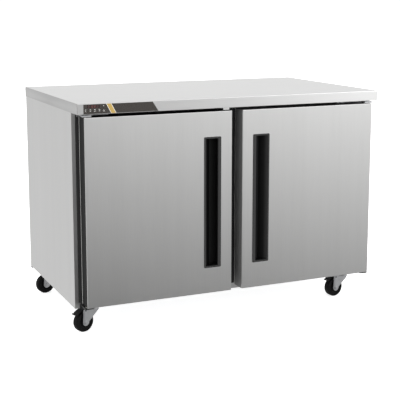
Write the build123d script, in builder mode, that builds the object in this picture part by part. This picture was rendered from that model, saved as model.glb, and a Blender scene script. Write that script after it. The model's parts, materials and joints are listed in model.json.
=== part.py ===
"""Two-door undercounter refrigerator on casters, for a food truck or a concession stand.

Frame: +X to the right, +Y to the back, +Z up, in millimetres. The origin is on the floor, at the centre
of the plan. Most front details are stated by their distance from the centre plane X = 0 and placed on
both sides of it by side = -1 (left) and side = +1 (right).
"""

from build123d import *
from math import cos, radians, sin
import os

os.makedirs("parts", exist_ok=True)

# ---------------------------------------------------------------- overall size
WIDTH = 1219.0  # worktop, 48 in
DEPTH = 720.0  # from the front of the handles to the worktop's rear edge
HEIGHT = 850.0  # floor to the worktop surface
FRONT = -DEPTH / 2
BACK = DEPTH / 2

# ---------------------------------------------------------------- sheet and gaps
STEEL = 1.0  # stainless shell sheet
SEAM = 0.4  # gap between neighbouring insulation slabs
BEND = 2.0  # outer bend radius of folded sheet

# ---------------------------------------------------------------- worktop
TOP_SHEET = 1.5
SKIRT = 38.0  # height of the worktop's edge, which is also the control fascia
TOP_FLANGE = 20.0  # inward return under the skirt
FASCIA_Y = FRONT + 1.4
SKIRT_Z = HEIGHT - SKIRT
FASCIA_TAB = (-57.0, -33.0)  # stiffener tab over the left door's free end
FASCIA_TAB_DROP = 8.0

# ---------------------------------------------------------------- cabinet
CAB_X = 608.0  # half width
CAB_FRONT = FRONT + 80.0
CAB_BACK = 356.0
CAB_Z = 101.6  # caster mounting height, 4 in
STILE = 14.0  # stainless strip at each side of the cabinet face
STILE_X = CAB_X - STILE
FACE_T = 7.0  # thickness of the breaker frame and of the sill
SILL_Z = 123.0
TRIM_BACK = CAB_FRONT + FACE_T

# ---------------------------------------------------------------- inside space
ROOM_X = 554.0
ROOM_BACK = 305.0
ROOM_Z0 = 156.0
ROOM_Z1 = 762.0
STEP_Y = 120.0  # front of the step over the compressor compartment
STEP_Z = 340.0
STEP_FOAM = 40.0
FOAM_Z0 = 112.0
MULLION_X = 46.0
MULLION_BACK = -225.0
MULLION_WALL = 2.5
COVE = 12.0  # radius between the liner's floor and its walls

# ---------------------------------------------------------------- doors
DOOR_FACE = FRONT + 2.4
DOOR_IN = 21.4
DOOR_OUT = 584.0
DOOR_Z0 = 121.0
DOOR_Z1 = 800.5
SKIN_DEPTH = 4.0  # rolled edge of the front sheet
SKIN_BACK = DOOR_FACE + SKIN_DEPTH
DOOR_BACK = -296.0  # front of the inner panel
EDGE_TRIM_W = 20.0
EDGE_INSET = 0.4
CORE = EDGE_TRIM_W + 1.0  # from the door's outline to its foam
GASKET_OUT = 572.0
GASKET_IN = 28.0
GASKET_Z0 = 134.0
GASKET_Z1 = 788.0
GASKET_W = 18.0
GASKET_GAP = 0.3
GASKET_BASE = 5.0
GASKET_INSET = 1.5  # of the bulb, inside the base's outline
PLATEAU_INSET = 25.0
PLATEAU_RISE = 6.0
PANEL_T = 4.0
PANEL_WALL = 3.0

# ---------------------------------------------------------------- door handles
HANDLE_X0 = 65.6
HANDLE_X1 = 133.6
HANDLE_Z0 = 218.0
HANDLE_Z1 = 708.0
HANDLE_RIM = 6.0
HANDLE_PROUD = 2.0
HANDLE_DEPTH = 31.0
HANDLE_WALL = 2.5
HANDLE_LIP = 6.0  # reach of the lip over the undercut
HANDLE_LIP_T = 5.5
HANDLE_RAMP = 30.0  # run of the sloping floor
HANDLE_HIDDEN = 2.3  # rim that laps over the door sheet
HANDLE_CORNER = 4.0
HANDLE_LAP = 2.0  # from the rim's outline to the cut-out in the door
HANDLE_ROUND = 0.9  # front edge of the rim

# ---------------------------------------------------------------- hinges
PIN_X = 574.0
PIN_Y = -336.0
PIN_R = 5.0
PIN_LENGTH = 18.0
BUSH_R = 8.0
BUSH_FLANGE_R = 11.0
BUSH_LENGTH = 16.0
RUNNING = 0.05  # radial clearance of every pin that turns in a hole
HINGE_X0 = 556.0
TOP_HINGE_X1 = 590.0
LOW_HINGE_X1 = 590.0
HINGE_NOSE = PIN_Y - 14.0
HINGE_LIP_T = 3.0  # turned-down front edge of the top plate
HINGE_LIP_GAP = 1.3  # above the door
HINGE_PLATE_T = 4.0
HINGE_WALL = CAB_FRONT - HINGE_PLATE_T  # front of both mounting flanges
HINGE_CORNER = 6.0
TOP_HINGE_Z = 804.0  # underside of the top plate
LOW_HINGE_Z = 115.0  # underside of the bottom plate
TOP_FLANGE_X0 = 472.0
TOP_FLANGE_Z = (796.0, 809.0)
LOW_FLANGE_X0 = 530.0
TOP_SCREWS = ((490.0, 802.5), (520.0, 802.5))  # (x, z) on one side
LOW_SCREWS = ((544.0, 108.3), (576.0, 108.3))

# ---------------------------------------------------------------- M6 flange screws
SCREW_R = 3.0
SCREW_HEAD_R = 6.0
SCREW_HEAD_H = 4.0
SCREW_LENGTH = 10.4
SCREW_FLANGE = 1.0
SCREW_HEX_R = 4.8

# ---------------------------------------------------------------- control panel
OVERLAY_T = 0.8
OVERLAY_X0 = -586.4
OVERLAY_TOP_X1 = -332.8
OVERLAY_LOW_X1 = -311.6
OVERLAY_MARGIN = 1.4
BUTTON_Z = 823.0
BUTTON_PITCH = 16.5
BUTTON_X = -579.0
BUTTON_W = 9.0
BUTTON_H = 5.0
BUTTON_PROUD = 0.6
BUTTON_GAP = 0.3
BUTTON_REACH = 4.0
BUTTON_FLANGE = 1.0
BUTTON_CORNER = 1.2
BUTTON_EDGE = 0.3
BUTTON_LAP = 1.0  # retaining flange beyond the cap
BUTTON_STEM_R = 1.5
BUTTONS = ("standby", "down", "up", "set")
LAMP_R = 2.0
LAMP_X = BUTTON_X + 4 * BUTTON_PITCH
DISPLAY_X = (-575.0, -527.0)
DISPLAY_Z = (832.5, 844.5)
BOARD_GAP = 6.0
BOARD_T = 1.6
BOARD_X = (-593.0, -501.0)
BOARD_Z = (SKIRT_Z + 3.0, HEIGHT - 4.0)
LENS_GAP = 0.2
LAMP_DOME = 1.2

# ---------------------------------------------------------------- casters
CASTER_X = 535.0
CASTER_FRONT_Y = -231.0
CASTER_REAR_Y = 291.0
WHEEL_R = 38.0
WHEEL_W = 26.0
HUB_R = 27.0
HUB_BOSS_R = 10.0
TRAIL = 33.0
FORK_GAP = 31.0  # between the two legs
FORK_T = 3.0
CROWN_Z = 83.0
CROWN_T = 3.0
CROWN_R = 26.0
LEG_TOP_BACK = -43.0
LEG_EYE_R = 13.5
AXLE_R = 4.0
KING_R = 6.0
KING_HEAD_R = 9.0
PLATE_T = 3.0
PLATE_X = 92.0
PLATE_Y = 72.0
PLATE_HOLE_X = 70.0
PLATE_HOLE_Y = 50.0
RACE_R = 24.0
RACE_GAP = 0.4
PEDAL_PIVOT = (-34.0, 81.8)
PEDAL_PIN_R = 2.6
PEDAL_BOSS_R = 4.4
PEDAL_W = 27.0
PEDAL_R0 = 45.0
PEDAL_T = 3.5
PEDAL_ARC = (88.0, 139.0)  # degrees about the wheel's axle
PEDAL_TOE = 2.0  # raised end of the shoe
KING_HEAD_H = 2.5
LEG_EDGE = radians(38)  # slope of a leg's front edge
LEG_RIB_T = 1.2
LEG_RIB_TOP = 23.0
LEG_RIB_EYE = 9.5
RIVET_R = 6.6
RIVET_H = 2.4
TREAD_ROUND = 4.0
HUB_DISH = 2.0  # depth of the hub's face below the tread's
HUB_RING = 5.0
HUB_PLAY = 0.6  # between a boss and the leg beside it

# ---------------------------------------------------------------- shelves
SHELF_Z = 440.0
SHELF_X0 = 7.0
SHELF_X1 = 546.0
SHELF_Y0 = -203.0
SHELF_Y1 = 285.0
BORDER_R = 3.2
WIRE_R = 1.7
WIRES = 20
STIFFENER_R = 2.5
STANDARD_W = 16.0
STANDARD_T = 4.5
STANDARD_Y = (-150.0, 235.0)
STANDARD_Z = (360.0, 560.0)
CLIP_T = 3.0
CLIP_L = 17.0
CLIP_W = 12.0
CLIP_DROP = 14.0
CLIP_HOOK = 2.0
TEE_W = 32.0  # clip that carries both shelves at the centre
TEE_L = 23.0
SLOTS = 8
SLOT_PITCH = 25.0
SLOT_H = 8.0
SLOT_W = 6.0

# ---------------------------------------------------------------- refrigeration
FAN_Z = 668.0
EVAP_X = 290.0
EVAP_Y0 = 185.0
EVAP_Z0 = 575.0
EVAP_SHEET = 1.2
EVAP_ROUND = 6.0
FAN_TIP_GAP = 6.0  # between the blades and the guard's mouth
EVAP_COIL = (230.0, 252.0, 300.0, 592.0, 748.0)
EVAP_FAN_R = 56.0
EVAP_FAN_Y = 204.0
EVAP_SLOTS = 7
EVAP_SLOT_X = (110.0, 250.0)
EVAP_SLOT_PITCH = 18.0
EVAP_SLOT_H = 7.0
GUARD_RINGS = (20.0, 35.0, 50.0)
GUARD_WIRE = 2.4
GUARD_HUB = 9.0
COIL_TUBE_R = 4.0
COIL_TUBE_OUT = 8.0
COND_COIL = (40.0, 300.0, 292.0, 338.0, 110.0, 288.0)
COND_FAN_R = 76.0
COND_FAN_X = 170.0
COND_FAN_Z = 199.0
COND_FAN_Y = 268.0
SHAFT_R = 2.5
MOTOR_R = 28.0
MOTOR_L = 34.0
MOTOR_BAR = 6.0
MOTOR_BAR_Y = (8.0, 12.0)
FAN_HUB_R = 14.0
FAN_HUB_L = 15.0
FAN_BLADE_T = 1.6
FAN_BLADES = 5
FAN_CHORD = 0.42  # of the fan's radius
FAN_ROOT = 1.0  # depth of a blade's root inside the hub
EVAP_SHAFT = 50.0
COND_SHAFT = 16.0
EVAP_MOTOR = (0.0, EVAP_FAN_Y + 18.0, FAN_Z, 86.0)  # x, front, z and the reach of its bars
COND_MOTOR = (COND_FAN_X, COND_FAN_Y - 50.0, COND_FAN_Z, 92.0)
MOTOR_CAP = 6.0  # of its length, without a bearing bore
FAN_PITCH = 26.0  # degrees
COMP_X = -380.0
COMP_Y = 256.0
COMP_R = 70.0
COMP_Z0 = 118.0
COMP_Z1 = 280.0
COMP_SEAM_Z = 194.0
COMP_FOOT_X = 78.0
COMP_FOOT_Y = 46.0
COMP_FOOT_R = 11.0
COMP_RELAY = (26.0, 60.0, 150.0, 225.0)  # reach, width, bottom, top
COMP_DOME = 34.0  # radii of the can's upper and lower edges
COMP_BOTTOM = 20.0
COMP_SEAM = (3.0, 6.0)  # reach and height of the weld seam
COMP_PLATE = (14.0, 16.0)  # margin of the foot plate round the feet, in x and y
COMP_PLATE_Z = (2.0, 6.0)
COMP_FOOT_TOP = 10.0
RELAY_ROUND = 4.0
SHROUD = 32.0  # depth of the condenser's fan shroud
SHROUD_FOOT = 20.0
LINE_R = 3.2
SUCTION_R = 5.0
DRIER_R = 11.0
BOX_X = (-215.0, -105.0)
BOX_Y = (262.0, 345.0)
BOX_Z = (104.0, 196.0)
GLAND_X = -160.0
GLAND_Z = 150.0
GLAND_R = 9.0
GLAND_BORE_R = 4.0
GLAND_NUT = 5.0
GLAND_WALL = 2.0  # from a collar's radius to the thread's
GLAND_END = 3.0  # narrower mouth of the gland
GLAND_INSET = 0.4  # of the mouth, inside the worktop's rear edge
BOX_WALL = 3.0
INLET_X = (-226.0, -94.0)  # moulded plate between the two halves of the grille
PAN_X = (322.0, 488.0)
PAN_Y = (185.0, 335.0)
PAN_TOP = 148.0
PAN_WALL = 3.0
PAN_CORNER = 12.0
GRILLE_X = 548.0
GRILLE_Z = (107.0, 297.0)
DUCT_X = 536.0
DUCT_Z = (118.0, 286.0)
LOUVRE_PITCH_X = 102.0
LOUVRE_PITCH_Z = 15.0
LOUVRE_L = 82.0
LOUVRE_H = 7.0
LOUVRE_ROWS = 10
GRILLE_GAP = 0.5
BACK_SHEET = 0.8
BUMPER_R = 7.5
BUMPER_H = 9.0
BUMPER_IN = (8.0, 4.0)  # of the axis, inside the cabinet's side and back


# ---------------------------------------------------------------- helpers
def save(builder, name):
    """Labels a finished piece and writes it under the same name."""
    builder.part.label = name
    export_step(builder.part, f"parts/{name}.step")


def slab(x0, x1, y0, y1, z0, z1, mode=Mode.ADD):
    """Box between two corners of the part's frame."""
    with Locations(((x0 + x1) / 2, (y0 + y1) / 2, (z0 + z1) / 2)):
        Box(abs(x1 - x0), abs(y1 - y0), abs(z1 - z0), mode=mode)


def rod_x(x0, x1, y, z, radius, mode=Mode.ADD):
    """Round bar along X."""
    with Locations(((x0 + x1) / 2, y, z)):
        Cylinder(radius, abs(x1 - x0), rotation=(0, 90, 0), mode=mode)


def rod_y(x, y0, y1, z, radius, mode=Mode.ADD):
    """Round bar along Y."""
    with Locations((x, (y0 + y1) / 2, z)):
        Cylinder(radius, abs(y1 - y0), rotation=(90, 0, 0), mode=mode)


def rod_z(x, y, z0, z1, radius, mode=Mode.ADD):
    """Round bar along Z."""
    with Locations((x, y, (z0 + z1) / 2)):
        Cylinder(radius, abs(z1 - z0), mode=mode)


def ball(x, y, z, radius):
    """Elbow of a round bar."""
    with Locations((x, y, z)):
        Sphere(radius)


# ---------------------------------------------------------------- worktop and shell
def build_worktop():
    """Folded stainless pan: the work surface, its skirt and the return under the skirt."""
    half = WIDTH / 2
    with BuildPart() as worktop:
        slab(-half, half, FASCIA_Y, BACK, SKIRT_Z, HEIGHT)
        fillet(worktop.edges().filter_by(Axis.Z), BEND)
        fillet(worktop.faces().sort_by(Axis.Z)[-1].edges(), BEND + TOP_SHEET / 2)
        slab(
            -half + TOP_SHEET, half - TOP_SHEET, FASCIA_Y + TOP_SHEET, BACK - TOP_SHEET,
            SKIRT_Z + TOP_SHEET, HEIGHT - TOP_SHEET, mode=Mode.SUBTRACT,
        )  # fmt: skip
        slab(
            -half + TOP_FLANGE, half - TOP_FLANGE, FASCIA_Y + TOP_FLANGE, BACK - TOP_FLANGE,
            SKIRT_Z, SKIRT_Z + TOP_SHEET, mode=Mode.SUBTRACT,
        )  # fmt: skip
        slab(*DISPLAY_X, FASCIA_Y, FASCIA_Y + TOP_SHEET, *DISPLAY_Z, mode=Mode.SUBTRACT)
        for index in range(len(BUTTONS)):
            x = BUTTON_X + index * BUTTON_PITCH
            reach_x = BUTTON_W / 2 + BUTTON_GAP
            reach_z = BUTTON_H / 2 + BUTTON_GAP
            slab(
                x - reach_x, x + reach_x, FASCIA_Y, FASCIA_Y + TOP_SHEET,
                BUTTON_Z - reach_z, BUTTON_Z + reach_z, mode=Mode.SUBTRACT,
            )  # fmt: skip
        rod_y(LAMP_X, FASCIA_Y, FASCIA_Y + TOP_SHEET, BUTTON_Z, LAMP_R, mode=Mode.SUBTRACT)
        slab(*FASCIA_TAB, FASCIA_Y + 2, FASCIA_Y + 14, SKIRT_Z - FASCIA_TAB_DROP, SKIRT_Z + TOP_SHEET)
    save(worktop, "worktop")


def build_side_panel(side, name):
    """Folded stainless side with a stile at the front, a return at the back and one underneath."""
    outer = side * CAB_X
    inner = side * (CAB_X - STEEL)
    with BuildPart() as panel:
        slab(outer, inner, CAB_FRONT, CAB_BACK, CAB_Z, SKIRT_Z)
        slab(outer, side * STILE_X, CAB_FRONT, CAB_FRONT + STEEL, CAB_Z, SKIRT_Z)
        slab(outer, side * STILE_X, CAB_BACK - STEEL, CAB_BACK, CAB_Z, SKIRT_Z)
        slab(outer, side * STILE_X, CAB_FRONT, CAB_BACK, CAB_Z, CAB_Z + STEEL)
        corners = panel.edges().filter_by(Axis.Z).group_by(Axis.X)[0 if side < 0 else -1]
        fillet(corners, BEND / 2)
    save(panel, name)


def build_back_panel():
    """Galvanised rear sheet with the opening of the compressor compartment."""
    with BuildPart() as back_panel:
        slab(
            -CAB_X + STEEL + 0.2, CAB_X - STEEL - 0.2, CAB_BACK - STEEL - BACK_SHEET, CAB_BACK - STEEL,
            CAB_Z + STEEL + 0.2, SKIRT_Z,
        )  # fmt: skip
        slab(-DUCT_X, DUCT_X, CAB_BACK - 5, CAB_BACK, *DUCT_Z, mode=Mode.SUBTRACT)
    save(back_panel, "back_panel")


def build_base_pan():
    """Galvanised floor of the cabinet, with the holes for the caster screws."""
    rear = CAB_BACK - STEEL - BACK_SHEET
    with BuildPart() as base_pan:
        slab(-STILE_X, STILE_X, TRIM_BACK, rear, CAB_Z, CAB_Z + STEEL)
        for corner in caster_places():
            for dx in (-PLATE_HOLE_X / 2, PLATE_HOLE_X / 2):
                for dy in (-PLATE_HOLE_Y / 2, PLATE_HOLE_Y / 2):
                    rod_z(corner[0] + dx, corner[1] + dy, CAB_Z, CAB_Z + STEEL, SCREW_R, mode=Mode.SUBTRACT)
    save(base_pan, "base_pan")


def build_front_sill():
    """Stainless channel along the bottom of the cabinet face."""
    with BuildPart() as sill:
        slab(-STILE_X, STILE_X, CAB_FRONT, TRIM_BACK, CAB_Z, SILL_Z)
        slab(
            -STILE_X, STILE_X, CAB_FRONT + STEEL, TRIM_BACK, CAB_Z + STEEL, SILL_Z - STEEL,
            mode=Mode.SUBTRACT,
        )  # fmt: skip
        for side in (-1, 1):
            for x, z in LOW_SCREWS:
                rod_y(side * x, CAB_FRONT, TRIM_BACK, z, SCREW_R, mode=Mode.SUBTRACT)
    save(sill, "front_sill")


def build_wall_foam():
    """Insulation slabs of the walls, the step, the centre post and the worktop."""
    shell_x = CAB_X - STEEL - SEAM
    liner_x = ROOM_X + STEEL
    front = TRIM_BACK + SEAM
    rear = CAB_BACK - STEEL - BACK_SHEET - SEAM
    liner_back = ROOM_BACK + STEEL
    step_back = STEP_Y + STEEL + STEP_FOAM
    step_low = STEP_Z - STEEL - STEP_FOAM
    post_x = MULLION_X - MULLION_WALL - SEAM
    with BuildPart() as wall_foam:
        for side in (-1, 1):
            slab(side * (liner_x + SEAM), side * shell_x, front, rear, FOAM_Z0, SKIRT_Z - SEAM)
        slab(-liner_x, liner_x, front, rear, ROOM_Z1 + STEEL + SEAM, SKIRT_Z - SEAM)
        slab(-liner_x, liner_x, liner_back + SEAM, rear, STEP_Z - STEEL + SEAM, ROOM_Z1 + STEEL)
        slab(-liner_x, liner_x, STEP_Y + STEEL + SEAM, rear, step_low, STEP_Z - STEEL - SEAM / 2)
        slab(-liner_x, liner_x, STEP_Y + STEEL + SEAM, step_back, FOAM_Z0, step_low - SEAM)
        slab(-liner_x, liner_x, front, STEP_Y + STEEL, FOAM_Z0, ROOM_Z0 - STEEL - SEAM)
        slab(-post_x, post_x, front, MULLION_BACK - MULLION_WALL - SEAM, ROOM_Z0 + SEAM, ROOM_Z1 - SEAM)
        slab(
            -WIDTH / 2 + TOP_FLANGE + SEAM, WIDTH / 2 - TOP_FLANGE - SEAM, front, BACK - TOP_FLANGE - SEAM,
            SKIRT_Z + SEAM, HEIGHT - TOP_SHEET - SEAM,
        )  # fmt: skip
    save(wall_foam, "wall_foam")


def build_liner():
    """Aluminium liner: one open-fronted box with a step over the compressor compartment."""
    outer_x = ROOM_X + STEEL
    with BuildPart() as liner:
        slab(-outer_x, outer_x, TRIM_BACK, ROOM_BACK + STEEL, ROOM_Z0 - STEEL, ROOM_Z1 + STEEL)
        slab(
            -outer_x, outer_x, STEP_Y + STEEL, ROOM_BACK + STEEL, ROOM_Z0 - STEEL, STEP_Z - STEEL,
            mode=Mode.SUBTRACT,
        )  # fmt: skip
        slab(-ROOM_X, ROOM_X, TRIM_BACK, STEP_Y, ROOM_Z0, ROOM_Z1, mode=Mode.SUBTRACT)
        slab(-ROOM_X, ROOM_X, STEP_Y - 1, ROOM_BACK, STEP_Z, ROOM_Z1, mode=Mode.SUBTRACT)
        floor = liner.faces().filter_by(Axis.Z).filter_by(lambda f: abs(f.center().Z - ROOM_Z0) < 0.1)
        cove_edges = floor.edges().filter_by(lambda e: e.center().Y > TRIM_BACK + 1)
        fillet(cove_edges, COVE)
    save(liner, "interior_liner")


def build_breaker_frame():
    """Black frame around both door openings, with the cover of the centre post."""
    with BuildPart() as frame:
        slab(-STILE_X, STILE_X, CAB_FRONT, TRIM_BACK, SILL_Z, SKIRT_Z)
        for side in (-1, 1):
            slab(
                side * MULLION_X, side * ROOM_X, CAB_FRONT, TRIM_BACK, ROOM_Z0, ROOM_Z1,
                mode=Mode.SUBTRACT,
            )  # fmt: skip
        slab(-MULLION_X, MULLION_X, TRIM_BACK, MULLION_BACK, ROOM_Z0, ROOM_Z1)
        slab(
            -MULLION_X + MULLION_WALL, MULLION_X - MULLION_WALL, TRIM_BACK, MULLION_BACK - MULLION_WALL,
            ROOM_Z0, ROOM_Z1, mode=Mode.SUBTRACT,
        )  # fmt: skip
        for side in (-1, 1):
            for x, z in TOP_SCREWS:
                rod_y(side * x, CAB_FRONT, TRIM_BACK, z, SCREW_R, mode=Mode.SUBTRACT)
    save(frame, "breaker_frame")


# ---------------------------------------------------------------- hinges and fasteners
def build_top_hinges():
    """Two steel brackets over the doors, each with a fixed pin that points down."""
    top = TOP_HINGE_Z + HINGE_PLATE_T
    with BuildPart() as brackets:
        for side in (-1, 1):
            slab(side * HINGE_X0, side * TOP_HINGE_X1, HINGE_NOSE, CAB_FRONT, TOP_HINGE_Z, top)
            slab(
                side * HINGE_X0, side * TOP_HINGE_X1, HINGE_NOSE, HINGE_NOSE + HINGE_LIP_T,
                DOOR_Z1 + HINGE_LIP_GAP, top,
            )  # fmt: skip
            slab(side * TOP_FLANGE_X0, side * TOP_HINGE_X1, HINGE_WALL, CAB_FRONT, *TOP_FLANGE_Z)
            rod_z(side * PIN_X, PIN_Y, TOP_HINGE_Z - PIN_LENGTH, top, PIN_R)
            for x, z in TOP_SCREWS:
                rod_y(side * x, HINGE_WALL, CAB_FRONT, z, SCREW_R, mode=Mode.SUBTRACT)
    save(brackets, "top_hinge_brackets")


def build_bottom_hinges():
    """Two steel brackets under the doors, each with a fixed pin that points up."""
    top = LOW_HINGE_Z + HINGE_PLATE_T
    with BuildPart() as brackets:
        for side in (-1, 1):
            slab(side * HINGE_X0, side * LOW_HINGE_X1, HINGE_NOSE, CAB_FRONT, LOW_HINGE_Z, top)
            slab(side * LOW_FLANGE_X0, side * LOW_HINGE_X1, HINGE_WALL, CAB_FRONT, CAB_Z, top)
            rod_z(side * PIN_X, PIN_Y, LOW_HINGE_Z, top + PIN_LENGTH, PIN_R)
            for x, z in LOW_SCREWS:
                rod_y(side * x, HINGE_WALL, CAB_FRONT, z, SCREW_R, mode=Mode.SUBTRACT)
        noses = brackets.edges().filter_by(Axis.Z).group_by(Axis.Y)[0]
        fillet(noses, HINGE_CORNER)
    save(brackets, "bottom_hinge_brackets")


def build_screws():
    """All the M6 flange screws: two in each hinge bracket and four in each caster plate."""
    under = CAB_Z - PLATE_T
    with BuildPart() as screws:
        for side in (-1, 1):
            for x, z in TOP_SCREWS + LOW_SCREWS:
                rod_y(side * x, HINGE_WALL, HINGE_WALL + SCREW_LENGTH, z, SCREW_R)
                rod_y(side * x, HINGE_WALL - SCREW_FLANGE, HINGE_WALL, z, SCREW_HEAD_R)
                rod_y(side * x, HINGE_WALL - SCREW_HEAD_H, HINGE_WALL, z, SCREW_HEX_R)
        for corner in caster_places():
            for dx in (-PLATE_HOLE_X / 2, PLATE_HOLE_X / 2):
                for dy in (-PLATE_HOLE_Y / 2, PLATE_HOLE_Y / 2):
                    x = corner[0] + dx
                    y = corner[1] + dy
                    rod_z(x, y, under, under + SCREW_LENGTH, SCREW_R)
                    rod_z(x, y, under - SCREW_FLANGE, under, SCREW_HEAD_R)
                    rod_z(x, y, under - SCREW_HEAD_H, under, SCREW_HEX_R)
    save(screws, "flange_screws")


# ---------------------------------------------------------------- doors
def build_door_skin(side, name):
    """Stainless front sheet of a door, with a rolled edge and a cut-out for the handle."""
    x_in = side * DOOR_IN
    x_out = side * DOOR_OUT
    with BuildPart() as skin:
        slab(x_in, x_out, DOOR_FACE, SKIN_BACK, DOOR_Z0, DOOR_Z1)
        fillet(skin.faces().sort_by(Axis.Y)[0].edges(), BEND)
        slab(
            x_in + side * STEEL, x_out - side * STEEL, DOOR_FACE + STEEL, SKIN_BACK,
            DOOR_Z0 + STEEL, DOOR_Z1 - STEEL, mode=Mode.SUBTRACT,
        )  # fmt: skip
        slab(
            side * (HANDLE_X0 + HANDLE_LAP), side * (HANDLE_X1 - HANDLE_LAP), DOOR_FACE, DOOR_FACE + STEEL,
            HANDLE_Z0 + HANDLE_LAP, HANDLE_Z1 - HANDLE_LAP, mode=Mode.SUBTRACT,
        )  # fmt: skip
    save(skin, name)


def build_edge_trim(side, name):
    """Black ring between the front sheet and the inner panel: the door's edge all round, with a
    tongue inside the rolled sheet and the seats of the hinge bushings."""
    x_in = side * (DOOR_IN + EDGE_INSET)
    x_out = side * (DOOR_OUT - EDGE_INSET)
    tongue = STEEL + SEAM / 2
    seat = BUSH_LENGTH + SEAM
    with BuildPart() as trim:
        slab(x_in, x_out, SKIN_BACK, DOOR_BACK, DOOR_Z0 + EDGE_INSET, DOOR_Z1 - EDGE_INSET)
        slab(
            side * (DOOR_IN + tongue), side * (DOOR_OUT - tongue), DOOR_FACE + tongue, SKIN_BACK,
            DOOR_Z0 + tongue, DOOR_Z1 - tongue,
        )  # fmt: skip
        slab(
            side * (DOOR_IN + EDGE_TRIM_W), side * (DOOR_OUT - EDGE_TRIM_W), DOOR_FACE, DOOR_BACK,
            DOOR_Z0 + EDGE_TRIM_W, DOOR_Z1 - EDGE_TRIM_W, mode=Mode.SUBTRACT,
        )  # fmt: skip
        rod_z(side * PIN_X, PIN_Y, DOOR_Z0, DOOR_Z0 + seat, BUSH_R, mode=Mode.SUBTRACT)
        rod_z(side * PIN_X, PIN_Y, DOOR_Z1 - seat, DOOR_Z1, BUSH_R, mode=Mode.SUBTRACT)
    save(trim, name)


def build_door_foam(side, name):
    """Insulation of a door, in slabs laid around the handle pocket."""
    seam = SEAM / 2
    x_in = side * (DOOR_IN + CORE)
    x_out = side * (DOOR_OUT - CORE)
    y0 = DOOR_FACE + STEEL + seam
    y1 = DOOR_BACK - seam
    z0 = DOOR_Z0 + CORE
    z1 = DOOR_Z1 - CORE
    pocket_x0 = HANDLE_X0 + HANDLE_LAP
    pocket_x1 = HANDLE_X1 - HANDLE_LAP
    pocket_y = DOOR_FACE + HANDLE_DEPTH + SEAM
    pocket_z0 = HANDLE_Z0 + HANDLE_LAP - SEAM
    pocket_z1 = HANDLE_Z1 - HANDLE_LAP + SEAM
    with BuildPart() as foam:
        slab(side * (pocket_x1 + seam), x_out, y0, y1, z0, z1)
        slab(x_in, side * (pocket_x0 - seam), y0, y1, z0, z1)
        slab(side * pocket_x0, side * pocket_x1, y0, y1, z0, pocket_z0)
        slab(side * pocket_x0, side * pocket_x1, y0, y1, pocket_z1, z1)
        slab(side * pocket_x0, side * pocket_x1, pocket_y, y1, pocket_z0 + SEAM, pocket_z1 - SEAM)
    save(foam, name)


def build_inner_panel(side, name):
    """Inner face of a door: a flat border for the gasket and a raised middle."""
    x_in = side * (DOOR_IN + EDGE_INSET)
    x_out = side * (DOOR_OUT - EDGE_INSET)
    rise_in = side * (GASKET_IN + PLATEAU_INSET)
    rise_out = side * (GASKET_OUT - PLATEAU_INSET)
    rise_z0 = GASKET_Z0 + PLATEAU_INSET
    rise_z1 = GASKET_Z1 - PLATEAU_INSET
    hollow = PLATEAU_RISE + 1
    with BuildPart() as panel:
        slab(rise_in, rise_out, DOOR_BACK, DOOR_BACK + PANEL_T + PLATEAU_RISE, rise_z0, rise_z1)
        rim = panel.faces().sort_by(Axis.Y)[-1].edges()
        chamfer(rim, PLATEAU_RISE - 1)
        slab(
            x_in, x_out, DOOR_BACK, DOOR_BACK + PANEL_T, DOOR_Z0 + EDGE_INSET, DOOR_Z1 - EDGE_INSET,
        )  # fmt: skip
        slab(
            rise_in + side * hollow, rise_out - side * hollow,
            DOOR_BACK, DOOR_BACK + PANEL_T + PLATEAU_RISE - PANEL_WALL,
            rise_z0 + hollow, rise_z1 - hollow, mode=Mode.SUBTRACT,
        )  # fmt: skip
    save(panel, name)


def build_gasket(side, name):
    """Magnetic gasket: a flat base with a narrower bulb that meets the breaker frame."""
    base_y = DOOR_BACK + PANEL_T
    bulb_y = base_y + GASKET_BASE
    inset = GASKET_INSET
    with BuildPart() as gasket:
        slab(side * GASKET_IN, side * GASKET_OUT, base_y, bulb_y, GASKET_Z0, GASKET_Z1)
        slab(
            side * (GASKET_IN + inset), side * (GASKET_OUT - inset), bulb_y, CAB_FRONT - GASKET_GAP,
            GASKET_Z0 + inset, GASKET_Z1 - inset,
        )  # fmt: skip
        slab(
            side * (GASKET_IN + GASKET_W), side * (GASKET_OUT - GASKET_W), base_y, CAB_FRONT,
            GASKET_Z0 + GASKET_W, GASKET_Z1 - GASKET_W, mode=Mode.SUBTRACT,
        )  # fmt: skip
        crown = gasket.faces().sort_by(Axis.Y)[-1]
        fillet(crown.edges(), inset)
    save(gasket, name)


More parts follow.
